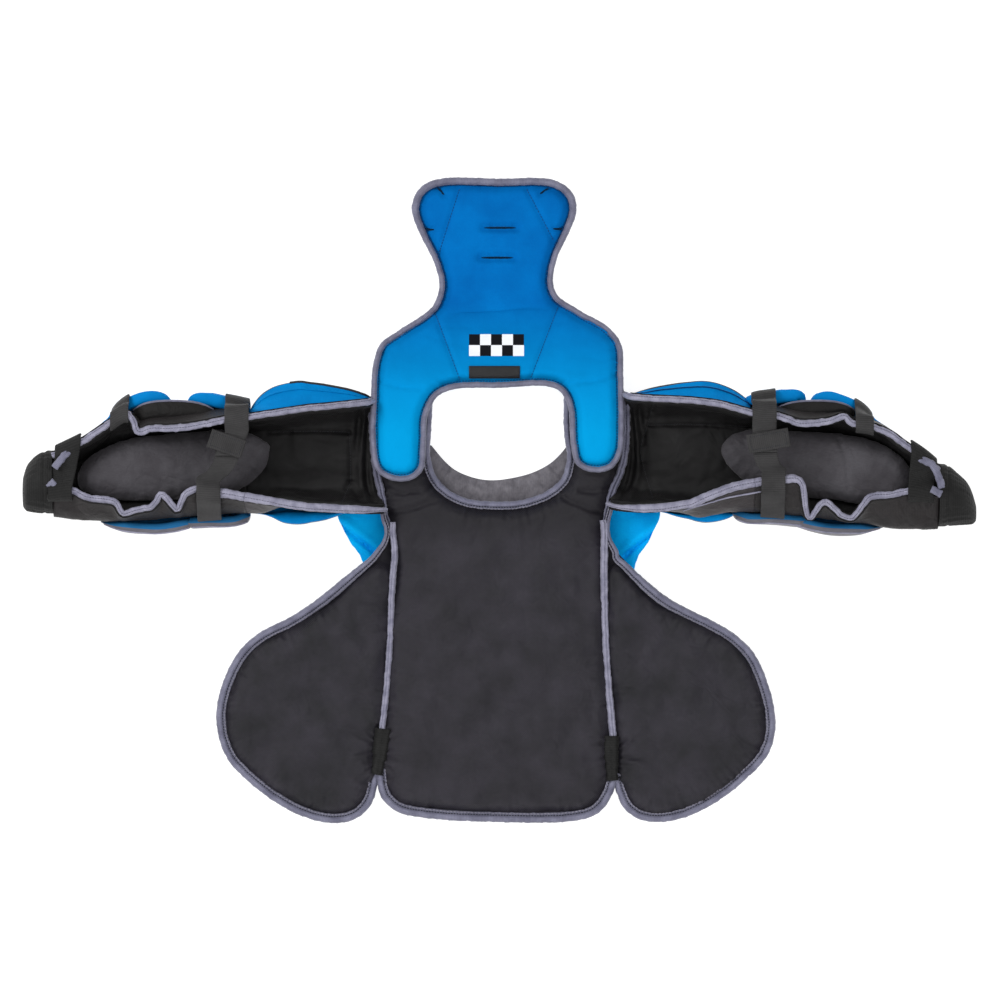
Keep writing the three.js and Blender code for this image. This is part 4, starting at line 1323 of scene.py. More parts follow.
@dataclass
class BackPad:
    """The blue knit-faced back pad with its two shoulder straps, binding and label."""

    outline: Rows = (
        (0, 320.8), (-62, 320.4), (-80, 311), (-87, 292), (-79, 267), (-66, 240), (-60, 216), (-67, 194),
        (-100, 170), (-119, 156), (-126, 135), (-128, 100), (-128.5, 55), (-123, 30), (-108, 20.5),
        (-90, 20.5), (-78, 30), (-75, 55), (-73, 85), (-63, 104), (-46, 111.5), (0, 113), (48, 114),
        (62, 107), (69, 92), (71.5, 58), (77, 36), (93, 28.5), (111, 32), (121, 47), (123, 72),
        (121.5, 125), (117, 152), (102, 168), (74, 184), (56, 202), (52, 220), (57.2, 245), (68.6, 270),
        (75.4, 292), (70, 309), (52, 319.9))
    drape: Rows = (
        (0, 32.4), (108, 32.4), (122, 29), (145, 17), (168, 6.5), (190, 1.2), (206, 0), (340, 0))
    thick: float = 14.0
    seams: tuple[Rows, ...] = (
        ((-40.6, 312), (-61, 248)), ((26.7, 312), (53.3, 261)), ((-66, 190), (-39.6, 119)),
        ((58, 193), (30.8, 122)))
    slits: tuple[Rows, ...] = (((-16, 273), (16, 273)), ((-19, 243), (13, 243)))
    darts: tuple[Rows, ...] = (
        ((-63, 314), (-56, 306)), ((49, 313), (40, 307)), ((-76, 272), (-66, 271)), ((63, 272), (53, 272)))
    folds: tuple[Rows, ...] = (((-121, 118), (-98, 113), (-79, 111)), ((71.6, 117), (95, 119), (117, 125)))
    label: tuple[float, float, float, float] = (-31.0, 20.0, 121.5, 134.0)

    def rise(self, points: Array) -> Array:
        """How far the pad's underside lies above the floor."""
        rows = np.array(self.drape)
        return np.interp(points[:, 1], rows[:, 0], rows[:, 1])

    @staticmethod
    def shoulder(points: Array) -> Array:
        """Fills out the right shoulder of the pad.

        Args:
            points: The points before.

        Returns:
            The points moved.
        """
        push = 5.7 * ease(points[:, 0], 25.0, 70.0) * hump(points[:, 1] - 172.0, 34.0)
        moved = points.copy()
        moved[:, :2] += push[:, None]
        return moved

    def edge(self) -> Line:
        """The pad's edge inside the binding."""
        line = Line.through(self.outline, 2.0, True).beside(2.0 - BINDING - GAP)
        return Line(self.shoulder(line.points), True)

    def build(self) -> None:
        """Makes the pad, its binding, its thread and its label."""
        pad = self.pad()
        ground = Ground(pad)
        edge = self.edge()
        middle = edge.beside(4.9).raised(lambda p: self.thick / 2 + 0.3 + self.rise(p))
        shape = TapeShape(half_wide=3.0, half_tall=6.4, notch=0.1, notch_at=128.0, pucker=0.25, seed=51)
        girth = 0.96 + 0.26 * ease(middle.points[:, 1], 240.0, 300.0)
        settle(shape.sew("back_binding_tape", middle, girth=girth), [TAPE], "back_binding")
        thread = edge.beside(0.8).raised(lambda p: self.face(p, ground) + 0.2)
        settle(StitchRow(2.8, 0.2, 1.1).sew("back_stitches", [thread]), [SEAM_THREAD_AND_SHADE])
        self.seam_lines(ground)
        self.neck_label(ground)

    def face(self, points: Array, ground: Ground) -> Array:
        """Height of the pad's upper face, also just past its edge."""
        return np.maximum(ground.height(points), self.rise(points) + 0.6 * self.thick)

    def seam_lines(self, ground: Ground) -> None:
        """Lays the thread of the sewn lines, dark blue as thread and painted shade, and dark lenses of
        painted shade over the cuts in the slits and darts.

        Args:
            ground: The finished pad.
        """
        # The seam lines run unbroken in dark blue: thread and painted shade of the seam valleys.
        lines = [Line.through(rows, 1.5).raised(lambda p: self.face(p, ground) + 0.1) for rows in self.seams]
        settle(StitchRow(3.0, 0.1, 0.9).sew("back_seam_thread", lines), [SEAM_THREAD_AND_SHADE])
        for i, rows in enumerate((*self.slits, *self.darts)):
            line = Line.through(rows, 1.2).raised(lambda p: self.face(p, ground) + 0.4)
            share = np.linspace(0.0, 1.0, len(line.points))
            bow = np.sqrt(np.maximum(1.0 - (2.0 * share - 1.0) ** 2, 0.01))
            wide = (1.0 if i < len(self.slits) else 1.1) * bow
            rings = TapeShape(half_wide=1.0, half_tall=0.35, turns=10, notch=0.0, pucker=0.0).rings(line)
            middle = line.points[:, None, :]
            sizes = np.stack([wide, wide, np.ones_like(wide)], axis=1)
            rings = middle + (rings - middle) * sizes[:, None, :]
            settle(loft(f"back_slit_{i + 1}", rings), [SLIT_SHADE])

    def pad(self) -> Piece:
        """Makes the foam pad with its sewn lines, and returns it."""
        piece = stuffed_copy("back_pad", "back_pad_foam", 4.0)
        points, edge = read_points(piece), self.edge()
        away, _ = edge.near(points)
        low = points[:, 2] - self.rise(points)
        hold = np.maximum(1.0 - ease(away, 3.0, 10.0), ease(-low, -6.0, -3.0))
        swell(piece, hold, 3.0)
        refine(piece)
        spread(piece, lambda p: 5.6)
        write_points(piece, self.shoulder(read_points(piece)))
        points, upper = upper_face(piece)
        away, along = edge.near(points)
        drop = 4.2 * hump(away, 3.6) + 0.35 * hump(away, 9.0) * wrinkle(along, 8.0, 55)
        drop += 5.0 * hump(edge.beside(4.9).near(points)[0], 3.0)
        drop += sum(groove(points, Line.through(rows), 2.4, 2.4) for rows in self.seams)
        drop += sum(groove(points, Line.through(rows), 4.4, 4.2) for rows in self.slits)
        drop += sum(groove(points, Line.through(rows), 3.0, 2.6) for rows in self.darts)
        drop += sum(groove(points, Line.through(rows), 1.8, 2.6) for rows in self.folds)
        for rows in self.slits:
            lip = Line.through([(x, y - 6.0) for x, y in rows])
            drop -= groove(points, lip, 1.3, 3.4)
        drop += 0.7 * dents(points, 30.0, 8) + 0.2 * dents(points, 9.0, 9)
        points[:, 2] -= upper * drop
        write_points(piece, points)
        return settle(piece, [BACK_FOAM], "back_pad")

    def neck_label(self, ground: Ground) -> None:
        """Lays the plain woven label on the pad behind the neck.

        Args:
            ground: The finished pad.
        """
        left, right, low, high = self.label
        across, up = np.meshgrid(np.linspace(left, right, 30), np.linspace(low, high, 9), indexing="ij")
        places = np.column_stack([across.ravel(), up.ravel()])
        height = ground.height(places) + 0.5
        inner = np.column_stack([places, height]).reshape(30, 9, 3)
        outer = inner + 0.7 * UP
        settle(shell("neck_label_cloth", inner, outer), [LABEL] * 3, "neck_label")


@dataclass
class Collar:
    """The soft grey band that stands out of the neckline into the neck hole."""

    free_edge: Rows = (
        (67, 54), (60, 45.5), (50, 36.5), (34, 28), (15, 22.6), (-7, 19.8), (-25, 22), (-44, 29.5),
        (-55, 38.5), (-69, 55))
    thick: float = 2.4

    def build(self) -> None:
        """Makes the band with soft gathers down from the neckline."""
        shares = np.linspace(0.0, 1.0, 150)
        root = Line.through(ChestPanel.neck).beside(GAP + BINDING - 2.6).between(-50.0, 54.0)
        root = resample(root.points, shares)
        free = resample(bend(self.free_edge), shares)
        across = np.linspace(0.0, 1.0, 22)
        flat = root[:, None] + (free - root)[:, None] * across[None, :, None]
        arc = Line(root).arc
        gather = 0.7 * wrinkle(arc, 10.0, 61) + 0.5 * wrinkle(arc, 4.3, 62)
        reach = np.linalg.norm(free - root, axis=1)
        height = 13.0 + (gather * ease(reach, 3.0, 14.0))[:, None] * (0.3 + 0.7 * across[None])
        height += 2.0 * np.sin(across * math.pi)[None] * ease(reach, 3.0, 18.0)[:, None] - 2.5 * across[None]
        upper = np.concatenate([flat, height[:, :, None]], axis=2)
        lower = upper - UP * rounded(across, 26.0, 2.0)[None, :, None] * self.thick
        piece = shell("collar_band", lower, upper)
        settle(piece, [COLLAR_KNIT] * 3, "collar")


# Arms

@dataclass
class Arm:
    """One arm: padded sleeve, rim binding, elbow cushion, guards, straps and wrist cuff.

    A guard's rows give its place along the arm, then how far its outer face stands off the sleeve, its
    height and its thickness, on the upper side and then on the lower side.
    """

    side: Side
    armhole: Rows
    top_rim: Rows
    low_rim: Rows
    wall: Rows
    liner_rows: Rows
    elbow_strap: tuple[float, float, float, float]
    guard_shift: float
    wrist_lean: float
    low_tuck: tuple[float, float]
    elbow_lean: tuple[float, float]
    forearm_lean: tuple[float, float]
    cuff: Rows
    cap_rows: Rows
    elbow_rows: Rows
    forearm_rows: Rows
    hems: tuple[Rows, ...]
    patch: tuple[float, float, float, float]
    floor_seams: tuple[Rows, ...]
    liner_seams: tuple[Rows, ...] = ()
    welt: Rows = ()
    elbow: float = 254.0
    wall_thick: float = 9.0
    strap_thick: float = 2.4
    rim_clear: float = 9.3
    strap_sag: float = 73.0
    cup_rows: Rows = (
        (286, 89.5, 50), (293, 93.5, 55), (303, 96.6, 57), (320, 98.4, 58), (345, 97.6, 58),
        (357, 94.5, 56), (366, 89, 50))

    def __post_init__(self) -> None:
        """Draws the rims, the armhole and the guards as smooth lines that are read again and again."""
        self.top_line = bend(self.top_rim)
        self.low_line = bend(self.low_rim)
        self.wall_line = bend(self.wall)
        hole = Line(bend(self.armhole)).beside(PIPE - 2.0).points
        self.hole = hole[np.argsort(hole[:, 1])]
        self.elbow_table = bend(self.elbow_rows)
        self.forearm_table = bend(self.forearm_rows)

    def name(self, word: str) -> str:
        """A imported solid's name on this arm."""
        return f"{self.side.word}_{word}"

    def mirrored(self, rows: Rows) -> Rows:
        """Places along the arm as places across the body."""
        return [(self.side.value * out, *rest) for out, *rest in rows]

    def top(self, out: float) -> tuple[float, float]:
        """Place across and height of the top rim."""
        y, z = row_at(self.top_line, out)
        return y, z

    def low(self, out: float) -> tuple[float, float]:
        """Place across and height of the low rim."""
        y, z = row_at(self.low_line, out)
        return y, z

    def walls(self, out: float) -> tuple[float, float]:
        """Where the walls stand furthest out, above and below."""
        high, deep = row_at(self.wall_line, out)
        return high, deep

    def lip(self, table: Array, out: float) -> tuple[float, float]:
        """Place across and height of a guard's upper lip, on its outside."""
        off, height = row_at(table, out)[:2]
        return self.walls(out)[0] + 1.0 + self.wall_thick / 2 + off, height

    def place(self, out: float, section: Array) -> Array:
        """Puts a section at its place along the arm: the shoulder end follows the armhole.

        Args:
            out: The place along the arm.
            section: Points as place across and height.

        Returns:
            Points in the model's frame.
        """
        edge = np.abs(np.interp(section[:, 0], self.hole[:, 1], self.hole[:, 0]))
        share = min(max((out - SHOULDER) / 56.0, 0.0), 1.0)
        x = self.side.value * (edge + (out - edge) * share)
        return np.column_stack([x, section[:, 0], section[:, 1]])

    def section(self, out: float) -> Array:
        """Finds the middle of the sleeve's wall, from the top rim round to the low rim.

        Args:
            out: The place along the arm.

        Returns:
            Points as place across and height.
        """
        (top_y, top_z), (low_y, low_z), (high, deep) = self.top(out), self.low(out), self.walls(out)
        tuck = max(1.0 - float(ease(out, 240.0, 270.0)), float(ease(out, 374.0, 396.0)))
        upper = high + 1.0 + tuck * min(top_y - 2.0 - high - 1.0, 0.0)
        tuck = 1.0 - float(ease(out, *self.low_tuck))
        lower = deep - 1.0 + tuck * max(low_y + 2.0 - deep + 1.0, 0.0)
        return np.array([
            (top_y, top_z), (upper, top_z * 0.58), (min(high, upper) - 5.0, 25.0), (high - 20.0, 13.2),
            ((high + deep) / 2, 13.2), (deep + 20.0, 13.2), (max(deep, lower) + 5.0, 25.0),
            (lower, low_z * 0.58), (low_y, low_z)])

    def build(self) -> None:
        """Makes the whole arm, from the sleeve outwards."""
        last = self.top_rim[-1][0]
        self.sleeve("upper_arm", SHOULDER, self.elbow, [SLEEVE_LINING, SLEEVE_SHELL, SLEEVE_LINING])
        self.sleeve("forearm", self.elbow, last, [SLEEVE_LINING, WRIST_SHELL, SLEEVE_LINING])
        self.liner()
        self.guard("shoulder_cap", bend(self.cap_rows), -4.0, None, [CAP_FOAM, CAP_SHELL, CAP_FOAM])
        self.guard("elbow_guard", self.elbow_table, 5.2, self.elbow_lean, [FOAM, GUARD_SHELL, FOAM])
        self.guard("forearm_guard", self.forearm_table, 5.2, self.forearm_lean, [FOAM, GUARD_SHELL, FOAM])
        self.elbow_cup()
        self.straps()
        self.strap_patch()
        self.wrist()

    def sleeve(self, word: str, start: float, end: float, finishes: list[ClothFinish]) -> None:
        """Makes one padded sleeve and the binding of its rims.

        Args:
            word: The sleeve's name.
            start: Where it starts along the arm.
            end: Where it ends.
            finishes: Its lining, shell and rim.
        """
        places = np.linspace(start, end, int((end - start) / 1.8) + 1)
        shares = np.linspace(0.0, 1.0, 150)
        rows = np.stack([self.place(out, resample(bend(self.section(out)), shares)) for out in places])
        middle = rows.mean(axis=1, keepdims=True) + 15.0 * UP
        normal = surface_normals(rows, middle)
        rims = {"top": rows[:, 0].copy(), "low": rows[:, -1].copy()}
        towards = {"top": rows[:, 0] - rows[:, 7], "low": rows[:, -1] - rows[:, -8]}
        rows = rows + normal * self.folds(places, shares, rows)[:, :, None]
        half = self.wall_thick / 2
        pressed = self.pressed(rows)[:, :, None]
        piece = shell(self.name(f"{word}_sleeve"), rows - normal * (half - pressed), rows + normal * half)
        settle(piece, finishes, self.name(word))
        if start == SHOULDER:
            ground = Ground(piece)
            lines = [Line.through(self.mirrored(seam), 1.5).raised(lambda p: ground.height(p) + 0.1)
                     for seam in self.floor_seams]
            settle(StitchRow(2.6, 0.2, 0.7).sew(self.name("floor_stitches"), lines), [DARK_THREAD])
            if self.welt:
                line = Line.through(self.mirrored(self.welt), 1.5).raised(lambda p: ground.height(p) + 0.4)
                line = Line(line.points[line.points[:, 2] > 60.0])
                # The welt takes the lit copy of the binding: painted light.
                settle(TapeShape.cord(1.8, 98).sew(self.name("wall_welt"), line), [LIT_TAPE])
        for rim, points in rims.items():
            self.rim_tape(word, rim, points, towards[rim], start == SHOULDER)

    def rim_tape(self, word: str, rim: str, points: Array, up: Array, joins: bool) -> None:
        """Binds one rim of a sleeve.

        Args:
            word: The sleeve's name.
            rim: Which rim it is, top or low.
            points: The rim.
            up: The direction out of the wall at each point.
            joins: Whether the tape runs on to the armhole.
        """
        up = unit(up)
        line = points + up * 1.6
        if joins:
            ahead = line[0] - line[4]
            ahead /= np.linalg.norm(ahead)
            steps = (5.0, 3.4, 1.7) if rim == "top" else (1.5, 1.0, 0.5)
            lead = [line[0] + ahead * step - step * 0.35 * UP for step in steps]
            line = np.vstack([lead, line])
            up = np.vstack([up[:1], up[:1], up[:1], up])
        outer = 58.0 if (rim == "top") == (self.side is Side.LEFT) else 122.0
        wide = 4.2 if rim == "low" else 3.1
        shape = TapeShape(
            half_wide=wide, half_tall=4.3, turns=30, notch=0.34, notch_wide=10.0, notch_at=outer,
            pucker=0.35 if joins else 0.6, pitch=11.0, seed=71 if rim == "top" else 75)
        node = self.name(f"{word}_{rim}_binding")
        out = np.abs(line[:, 0])
        girth = np.ones(len(line))
        if rim == "low":
            girth = 0.5 + 0.5 * ease(out, 114.0, 146.0) if joins else 1.0 - 0.36 * ease(out, 288.0, 302.0)
        # The rim tape takes the lit copy of the binding: painted light.
        settle(shape.sew(f"{node}_tape", Line(line), up, girth), [LIT_TAPE], node)
        thread = shape.thread(Line(line), up, girth)
        settle(StitchRow(2.6, 0.2, 0.6).sew(f"{node}_stitches", [thread]), [DARK_THREAD])

    def folds(self, places: Array, shares: Array, rows: Array) -> Array:
        """Finds how far the sleeve's cloth stands out of its even shape in soft folds.

        Args:
            places: The rows' places along the arm.
            shares: The columns' places round the wall.
            rows: The even shape.

        Returns:
            A distance for each point.
        """
        out, share = np.meshgrid(places, shares, indexing="ij")
        shoulder = hump(out - 156.0, 10.0) * ease(share, 0.08, 0.25) * ease(1.0 - share, 0.08, 0.25)
        swing = 3.0 * shoulder * np.sin(out / 2.1 + 2.0 * np.sin(share * 7.0))
        inside = ease(share, 0.05, 0.2) * ease(1.0 - share, 0.05, 0.2)
        flat = rows.reshape(-1, 3)
        soft = 1.3 * dents(flat, 26.0, 12) + 0.5 * dents(flat, 9.0, 13)
        return inside * soft.reshape(out.shape) + swing

    def pressed(self, rows: Array) -> Array:
        """Finds how far the sewn lines of the floor are pressed into the lining.

        Args:
            rows: The middle of the sleeve's wall.

        Returns:
            A depth for each point.
        """
        flat = rows.reshape(-1, 3)
        total = np.zeros(len(flat))
        for seam in self.floor_seams:
            line = Line.through(self.mirrored(seam))
            away, along = line.near(flat)
            ruffle = 0.4 * hump(away, 8.0) * wrinkle(along, 7.0, 85)
            total += np.where(flat[:, 2] < 45.0, groove(flat, line, 2.6, 2.0) + ruffle, 0.0)
        return total.reshape(rows.shape[:2])

    def liner(self) -> None:
        """Makes the brushed cushion that lies in the forearm."""
        node = self.name("elbow_liner")
        piece = stuffed_copy(node, f"{node}_cushion", 4.0)
        points = read_points(piece)
        edge = Line.through(self.liner_rows, 2.0, True)
        away, _ = edge.near(points)
        hold = np.maximum(1.0 - ease(away, 4.0, 12.0), ease(-points[:, 2], -24.0, -20.0))
        swell(piece, hold, 5.0)
        refine(piece)
        spread(piece, lambda p: 6.5)
        points, upper = upper_face(piece)
        away, along = edge.near(points)
        drop = 0.9 * hump(away, 12.0) * wrinkle(along, 12.0, 91)
        drop += 1.2 * dents(points, 30.0, 15) + 0.4 * dents(points, 10.0, 16)
        for rows in self.liner_seams:
            drop += groove(points, Line.through(rows), 1.8, 2.2)
        points[:, 2] -= upper * drop
        write_points(piece, points)
        settle(piece, [LINER], node)

    def guard(self, word: str, table: Array, clear: float, lean: Optional[tuple[float, float]],
              finishes: list[ClothFinish]) -> None:
        """Makes a foam guard that wraps the outside of the arm.

        Args:
            word: The guard's name.
            table: Its rows along the arm.
            clear: Room between the sleeve and the foot of the upper side.
            lean: How far the low lip leans over the sleeve at its two ends, or none for a shoulder cap.
            finishes: Its inner face, outer face and rim.
        """
        start, end = float(table[0, 0]), float(table[-1, 0])
        steps = graded(end - start, 1.8, 4.0)
        shares = graded(GUARD_ROUND, 2.0, LIP)
        rows, thick, shelves = [], [], []
        for out in start + (end - start) * steps:
            off, height, deep_top, low_off, low_height, deep_low = row_at(table, out)
            high, deep = self.walls(out)
            above, below = high + 1.0 + self.wall_thick / 2, deep - 1.0 - self.wall_thick / 2
            crest = above + off - deep_top / 2
            foot = min(crest, above + clear + 4.0) - 0.5
            bulge = below - low_off + deep_low / 2
            heel = max(bulge, below - 4.7) + 0.5
            back = float(np.interp(out, (start, end), lean or (0.0, 0.0)))
            line = bend([
                (crest, height), ((crest + foot) / 2, min(height / 2 + 10.0, height - 2.0)), (foot, 19.0),
                (high - 17.0, 4.0), ((high + deep) / 2, 4.0), (deep + 17.0, 4.0),
                (heel * 0.4 + bulge * 0.6, min(16.0, low_height - 4.0)),
                (bulge, min(low_height / 2 + 8.0, low_height - 2.0)),
                (bulge + (heel - bulge) * back, low_height)])
            rows.append(self.place(out, resample(line, shares)))
            (rim_y, rim_z), last = self.top(out), line[int(SHELF * len(line))]
            shelf = bend([(crest, height), ((crest + rim_y) / 2 + 1.0, (height + rim_z) / 2 - 3.0),
                          (rim_y - 1.0, rim_z - 9.0), (rim_y - 4.0, 30.0), last])
            shelves.append(self.place(out, resample(shelf, np.minimum(shares / SHELF, 1.0))))
            thick.append(np.interp(shares, (0.0, 0.28, 0.42, 0.58, 0.72, 1.0),
                                   (deep_top, deep_top, 6.0, 6.0, deep_low, deep_low)))
        rows = np.stack(rows)
        along = rounded(steps, end - start, 4.0)[:, None]
        half = np.stack(thick) / 2 * along * rounded(shares, GUARD_ROUND, LIP)[None]
        normal = surface_normals(rows, rows.mean(axis=1, keepdims=True) + 15.0 * UP)
        fold = 10.0 if lean else 7.5
        crease = 1.6 * hump(shares * GUARD_ROUND - fold, 1.6)[None] * ease(half, 1.5, 3.0)
        inner = rows - normal * (half - crease)[:, :, None]
        outer = rows + normal * half[:, :, None]
        outer[:, :, 2] = np.maximum(outer[:, :, 2], 0.6)
        if not lean:
            facing = surface_normals(np.stack(shelves), rows.mean(axis=(0, 1)) - np.array((0.0, 60.0, 0.0)))
            full = np.stack(shelves) + facing * (0.5 * half - 1.2 * crease)[:, :, None]
            inner = np.where(shares[None, :, None] < SHELF, full, inner)
        turned = (int((shares < SHELF).sum()), 0) if lean else (0, int((shares > 0.972).sum()))
        piece = shell(self.name(f"{word}_foam"), inner, outer, turned=turned)
        settle(piece, finishes, self.name(word))
        cord = TapeShape.cord(1.6, 97)
        if lean:
            column = int((shares < 1.0 - 4.0 / GUARD_ROUND).sum())
            # The piping takes the lit copy of the binding: painted light.
            settle(cord.sew(self.name(f"{word}_piping"), Line(outer[4:-4, column])), [LIT_TAPE])
        else:
            column = int((shares < fold / GUARD_ROUND).sum())
            inset = len(rows) // 16
            # On the right cap the crease line is dark blue: thread and painted shade of the crease.
            settle(cord.sew(self.name(f"{word}_thread"), Line(inner[inset:-inset, column])),
                   [CAP_FOAM if self.side is Side.LEFT else SEAM_THREAD_AND_SHADE])
            if self.side is Side.LEFT:
                cord = TapeShape.cord(2.4, 97)
                upto = int(0.66 * len(rows))
                settle(cord.sew(self.name(f"{word}_edge"), Line(outer[inset:upto, 1])), [CAP_SHELL])

    def elbow_cup(self) -> None:
        """Makes the black cup between the forearm and its guards, with its grey piping."""
        table = bend([(r[0] + 0.75 * self.guard_shift, *r[1:]) for r in self.cup_rows])
        start, end = float(table[0, 0]), float(table[-1, 0])
        steps, shares = graded(end - start, 2.0, 3.0), np.linspace(0.0, 1.0, 18)
        rows = []
        for out in start + (end - start) * steps:
            edge, height = row_at(table, out)
            near = min(self.top(out)[0] + 3.0, edge - 1.0)
            line = bend([(near, 44.0), (near * 0.6 + edge * 0.4, height + 1.5), (edge, height)])
            rows.append(self.place(out, resample(line, shares)))
        rows = np.stack(rows)
        normal = surface_normals(rows, rows.mean(axis=(0, 1)) - 60.0 * UP)
        thick = 1.5 * rounded(steps, end - start, 3.0)[:, None, None]
        piece = shell(self.name("elbow_cup_shell"), rows - normal * thick, rows + normal * thick)
        settle(piece, [CUP_SHELL] * 3, self.name("elbow_cup"))
        rim = Line(rows[1:-1, -1] + np.array((0.0, 0.4, 0.8)))
        settle(TapeShape.cord(2.2, 95).sew(self.name("elbow_cup_piping"), rim), [TAPE])

    def band(self, word: str, path: Callable[[float], Rows], width: float, finish: ClothFinish) -> None:
        """Makes a flat woven band, wide along the arm.

        Args:
            word: The band's name.
            path: Its rows of place, across and height for an edge at a shift along the arm.
            width: Its width.
            finish: Its cloth.
        """
        shifts = width * (graded(width, 2.0, 1.6) - 0.5)
        dense = [bend(path(float(shift))) for shift in shifts]
        length = float(steps_of(dense[len(dense) // 2]).sum())
        shares = np.linspace(0.0, 1.0, max(8, int(length / 1.5)))
        rows = np.stack([resample(line, shares) for line in dense], axis=1)
        rows[:, :, 0] *= self.side.value
        flat = rows.reshape(-1, 3)
        rows[:, :, 2] += (0.5 * dents(flat, 16.0, 18)).reshape(rows.shape[:2])
        normal = surface_normals(rows, rows.mean(axis=(0, 1)) - 200.0 * UP)
        edge = rounded((shifts + width / 2) / width, width, 1.6)[None, :, None]
        half = self.strap_thick / 2 * (0.35 + 0.65 * edge)
        piece = shell(self.name(f"{word}_band"), rows - normal * half, rows + normal * half)
        settle(piece, [finish] * 3, self.name(word))

    def straps(self) -> None:
        """Makes the elbow strap, the guard strap and the wrist strap."""
        top_out, tab_out, low_out, tab_y = self.elbow_strap
        clear, sag = self.rim_clear, self.strap_sag

        def upper(shift: float) -> Rows:
            """Path of the upper half, from round the guard's lip to the tab."""
            out = top_out + shift
            (y, z), (lip, height) = self.top(out), self.lip(self.elbow_table, out)
            return [(out, lip - 6.0, height - 19.0), (out, lip + 0.6, height - 11.0),
                    (out, lip + 1.7, height - 2.0), (out, lip - 1.5, height + 4.5),
                    (out, lip - 7.0, height + 7.0), (out, y + 12.0, z + 3.0),
                    (out, y + 4.0, z + clear - 2.0),
                    (out, y - 4.0, z + clear - 3.0), (out, y - 14.0, sag + 4.0),
                    (tab_out + shift, tab_y - 10.0, sag + 4.0)]

        def lower(shift: float) -> Rows:
            """Path of the lower half, from under the tab into the guard below."""
            out = low_out + shift
            (y, z), (_, deep) = self.low(out), self.walls(out)
            return [(tab_out + shift, tab_y + 4.0, sag + 1.4), (tab_out + shift, tab_y - 12.0, sag + 0.6),
                    ((tab_out + low_out) / 2 + shift, (tab_y + y) / 2 - 4.0, sag),
                    (out, y + 12.0, sag + 2.0),
                    (out, y + 3.0, z + clear - 2.0), (out, y - 7.0, z + clear - 3.0),
                    (out, (y + deep) / 2 - 8.0, z - 8.0), (out, deep - 9.0, 48.0), (out, deep - 9.5, 38.0)]

        def guard(shift: float) -> Rows:
            """Path of the short strap from the forearm guard over the top rim."""
            out = 379.0 + self.guard_shift + shift
            (y, z), (lip, height) = self.top(out), self.lip(self.forearm_table, out)
            return [(out, lip - 6.0, height - 19.0), (out, lip + 0.6, height - 11.0),
                    (out, lip + 1.6, height - 2.0), (out, lip - 1.5, height + 5.0),
                    (out, lip - 6.0, height + 8.0), (out, y + 9.0, z + 4.0), (out, y + 3.0, z + clear - 2.0),
                    (out, y - 4.0, z + clear - 3.0), (out, y - 8.0, z + 2.0)]

        def wrist(shift: float) -> Rows:
            """Path of the elastic across the end of the forearm."""
            out = self.cuff[0][0] - 16.0 + shift
            far = min(out + self.wrist_lean, self.cuff[0][0] + 4.0)
            (y, z), (low_y, low_z) = self.top(out), self.low(far)
            over = clear - 2.5
            return [(out, y + 8.6, z - 8.0), (out, y + 8.0, z + 1.0), (out, y + 4.0, z + over - 1.5),
                    (out, y - 2.0, z + over),
                    ((out + far) / 2, (y + low_y) / 2, (z + low_z) / 2 + over - 6.0),
                    (far, low_y + 2.0, low_z + over), (far, low_y - 4.0, low_z + over - 1.5),
                    (far, low_y - 8.0, low_z + 1.0), (far, low_y - 8.6, low_z - 8.0)]

        self.band("elbow_strap_upper", upper, 24.0, WEBBING)
        self.band("elbow_strap_lower", lower, 24.0, WEBBING)
        self.band("guard_strap", guard, 18.0, WEBBING)
        self.band("wrist_strap", wrist, 26.0, ELASTIC)

    def strap_patch(self) -> None:
        """Sews the slanted patch where the two halves of the elbow strap meet."""
        out, y, long, tilt = self.patch
        turn = math.radians(tilt)
        along, across = np.meshgrid(
            np.linspace(-long / 2, long / 2, 26), np.linspace(-9.5, 9.5, 14), indexing="ij")
        place = np.stack([out - along * math.cos(turn) + across * math.sin(turn),
                          y + along * math.sin(turn) + across * math.cos(turn)], axis=2)
        ripple = dents(np.dstack([place, along]).reshape(-1, 3), 12.0, 22).reshape(along.shape)
        height = self.strap_sag + 5.4 + 0.5 * ripple
        inner = np.dstack([place[:, :, 0] * self.side.value, place[:, :, 1], height])
        ring = np.vstack([inner[2:-2, 2], inner[-3, 2:-2], inner[-3:1:-1, -3], inner[2, -3:1:-1]])
        outer = inner + 1.2 * UP
        settle(shell(self.name("strap_patch"), inner, outer), [WEBBING] * 3)
        thread = Line(resample(ring + 1.3 * UP, np.linspace(0.0, 1.0, 60)))
        settle(StitchRow(2.6, 0.7, 0.7).sew(self.name("strap_patch_stitches"), [thread]), [DARK_THREAD])

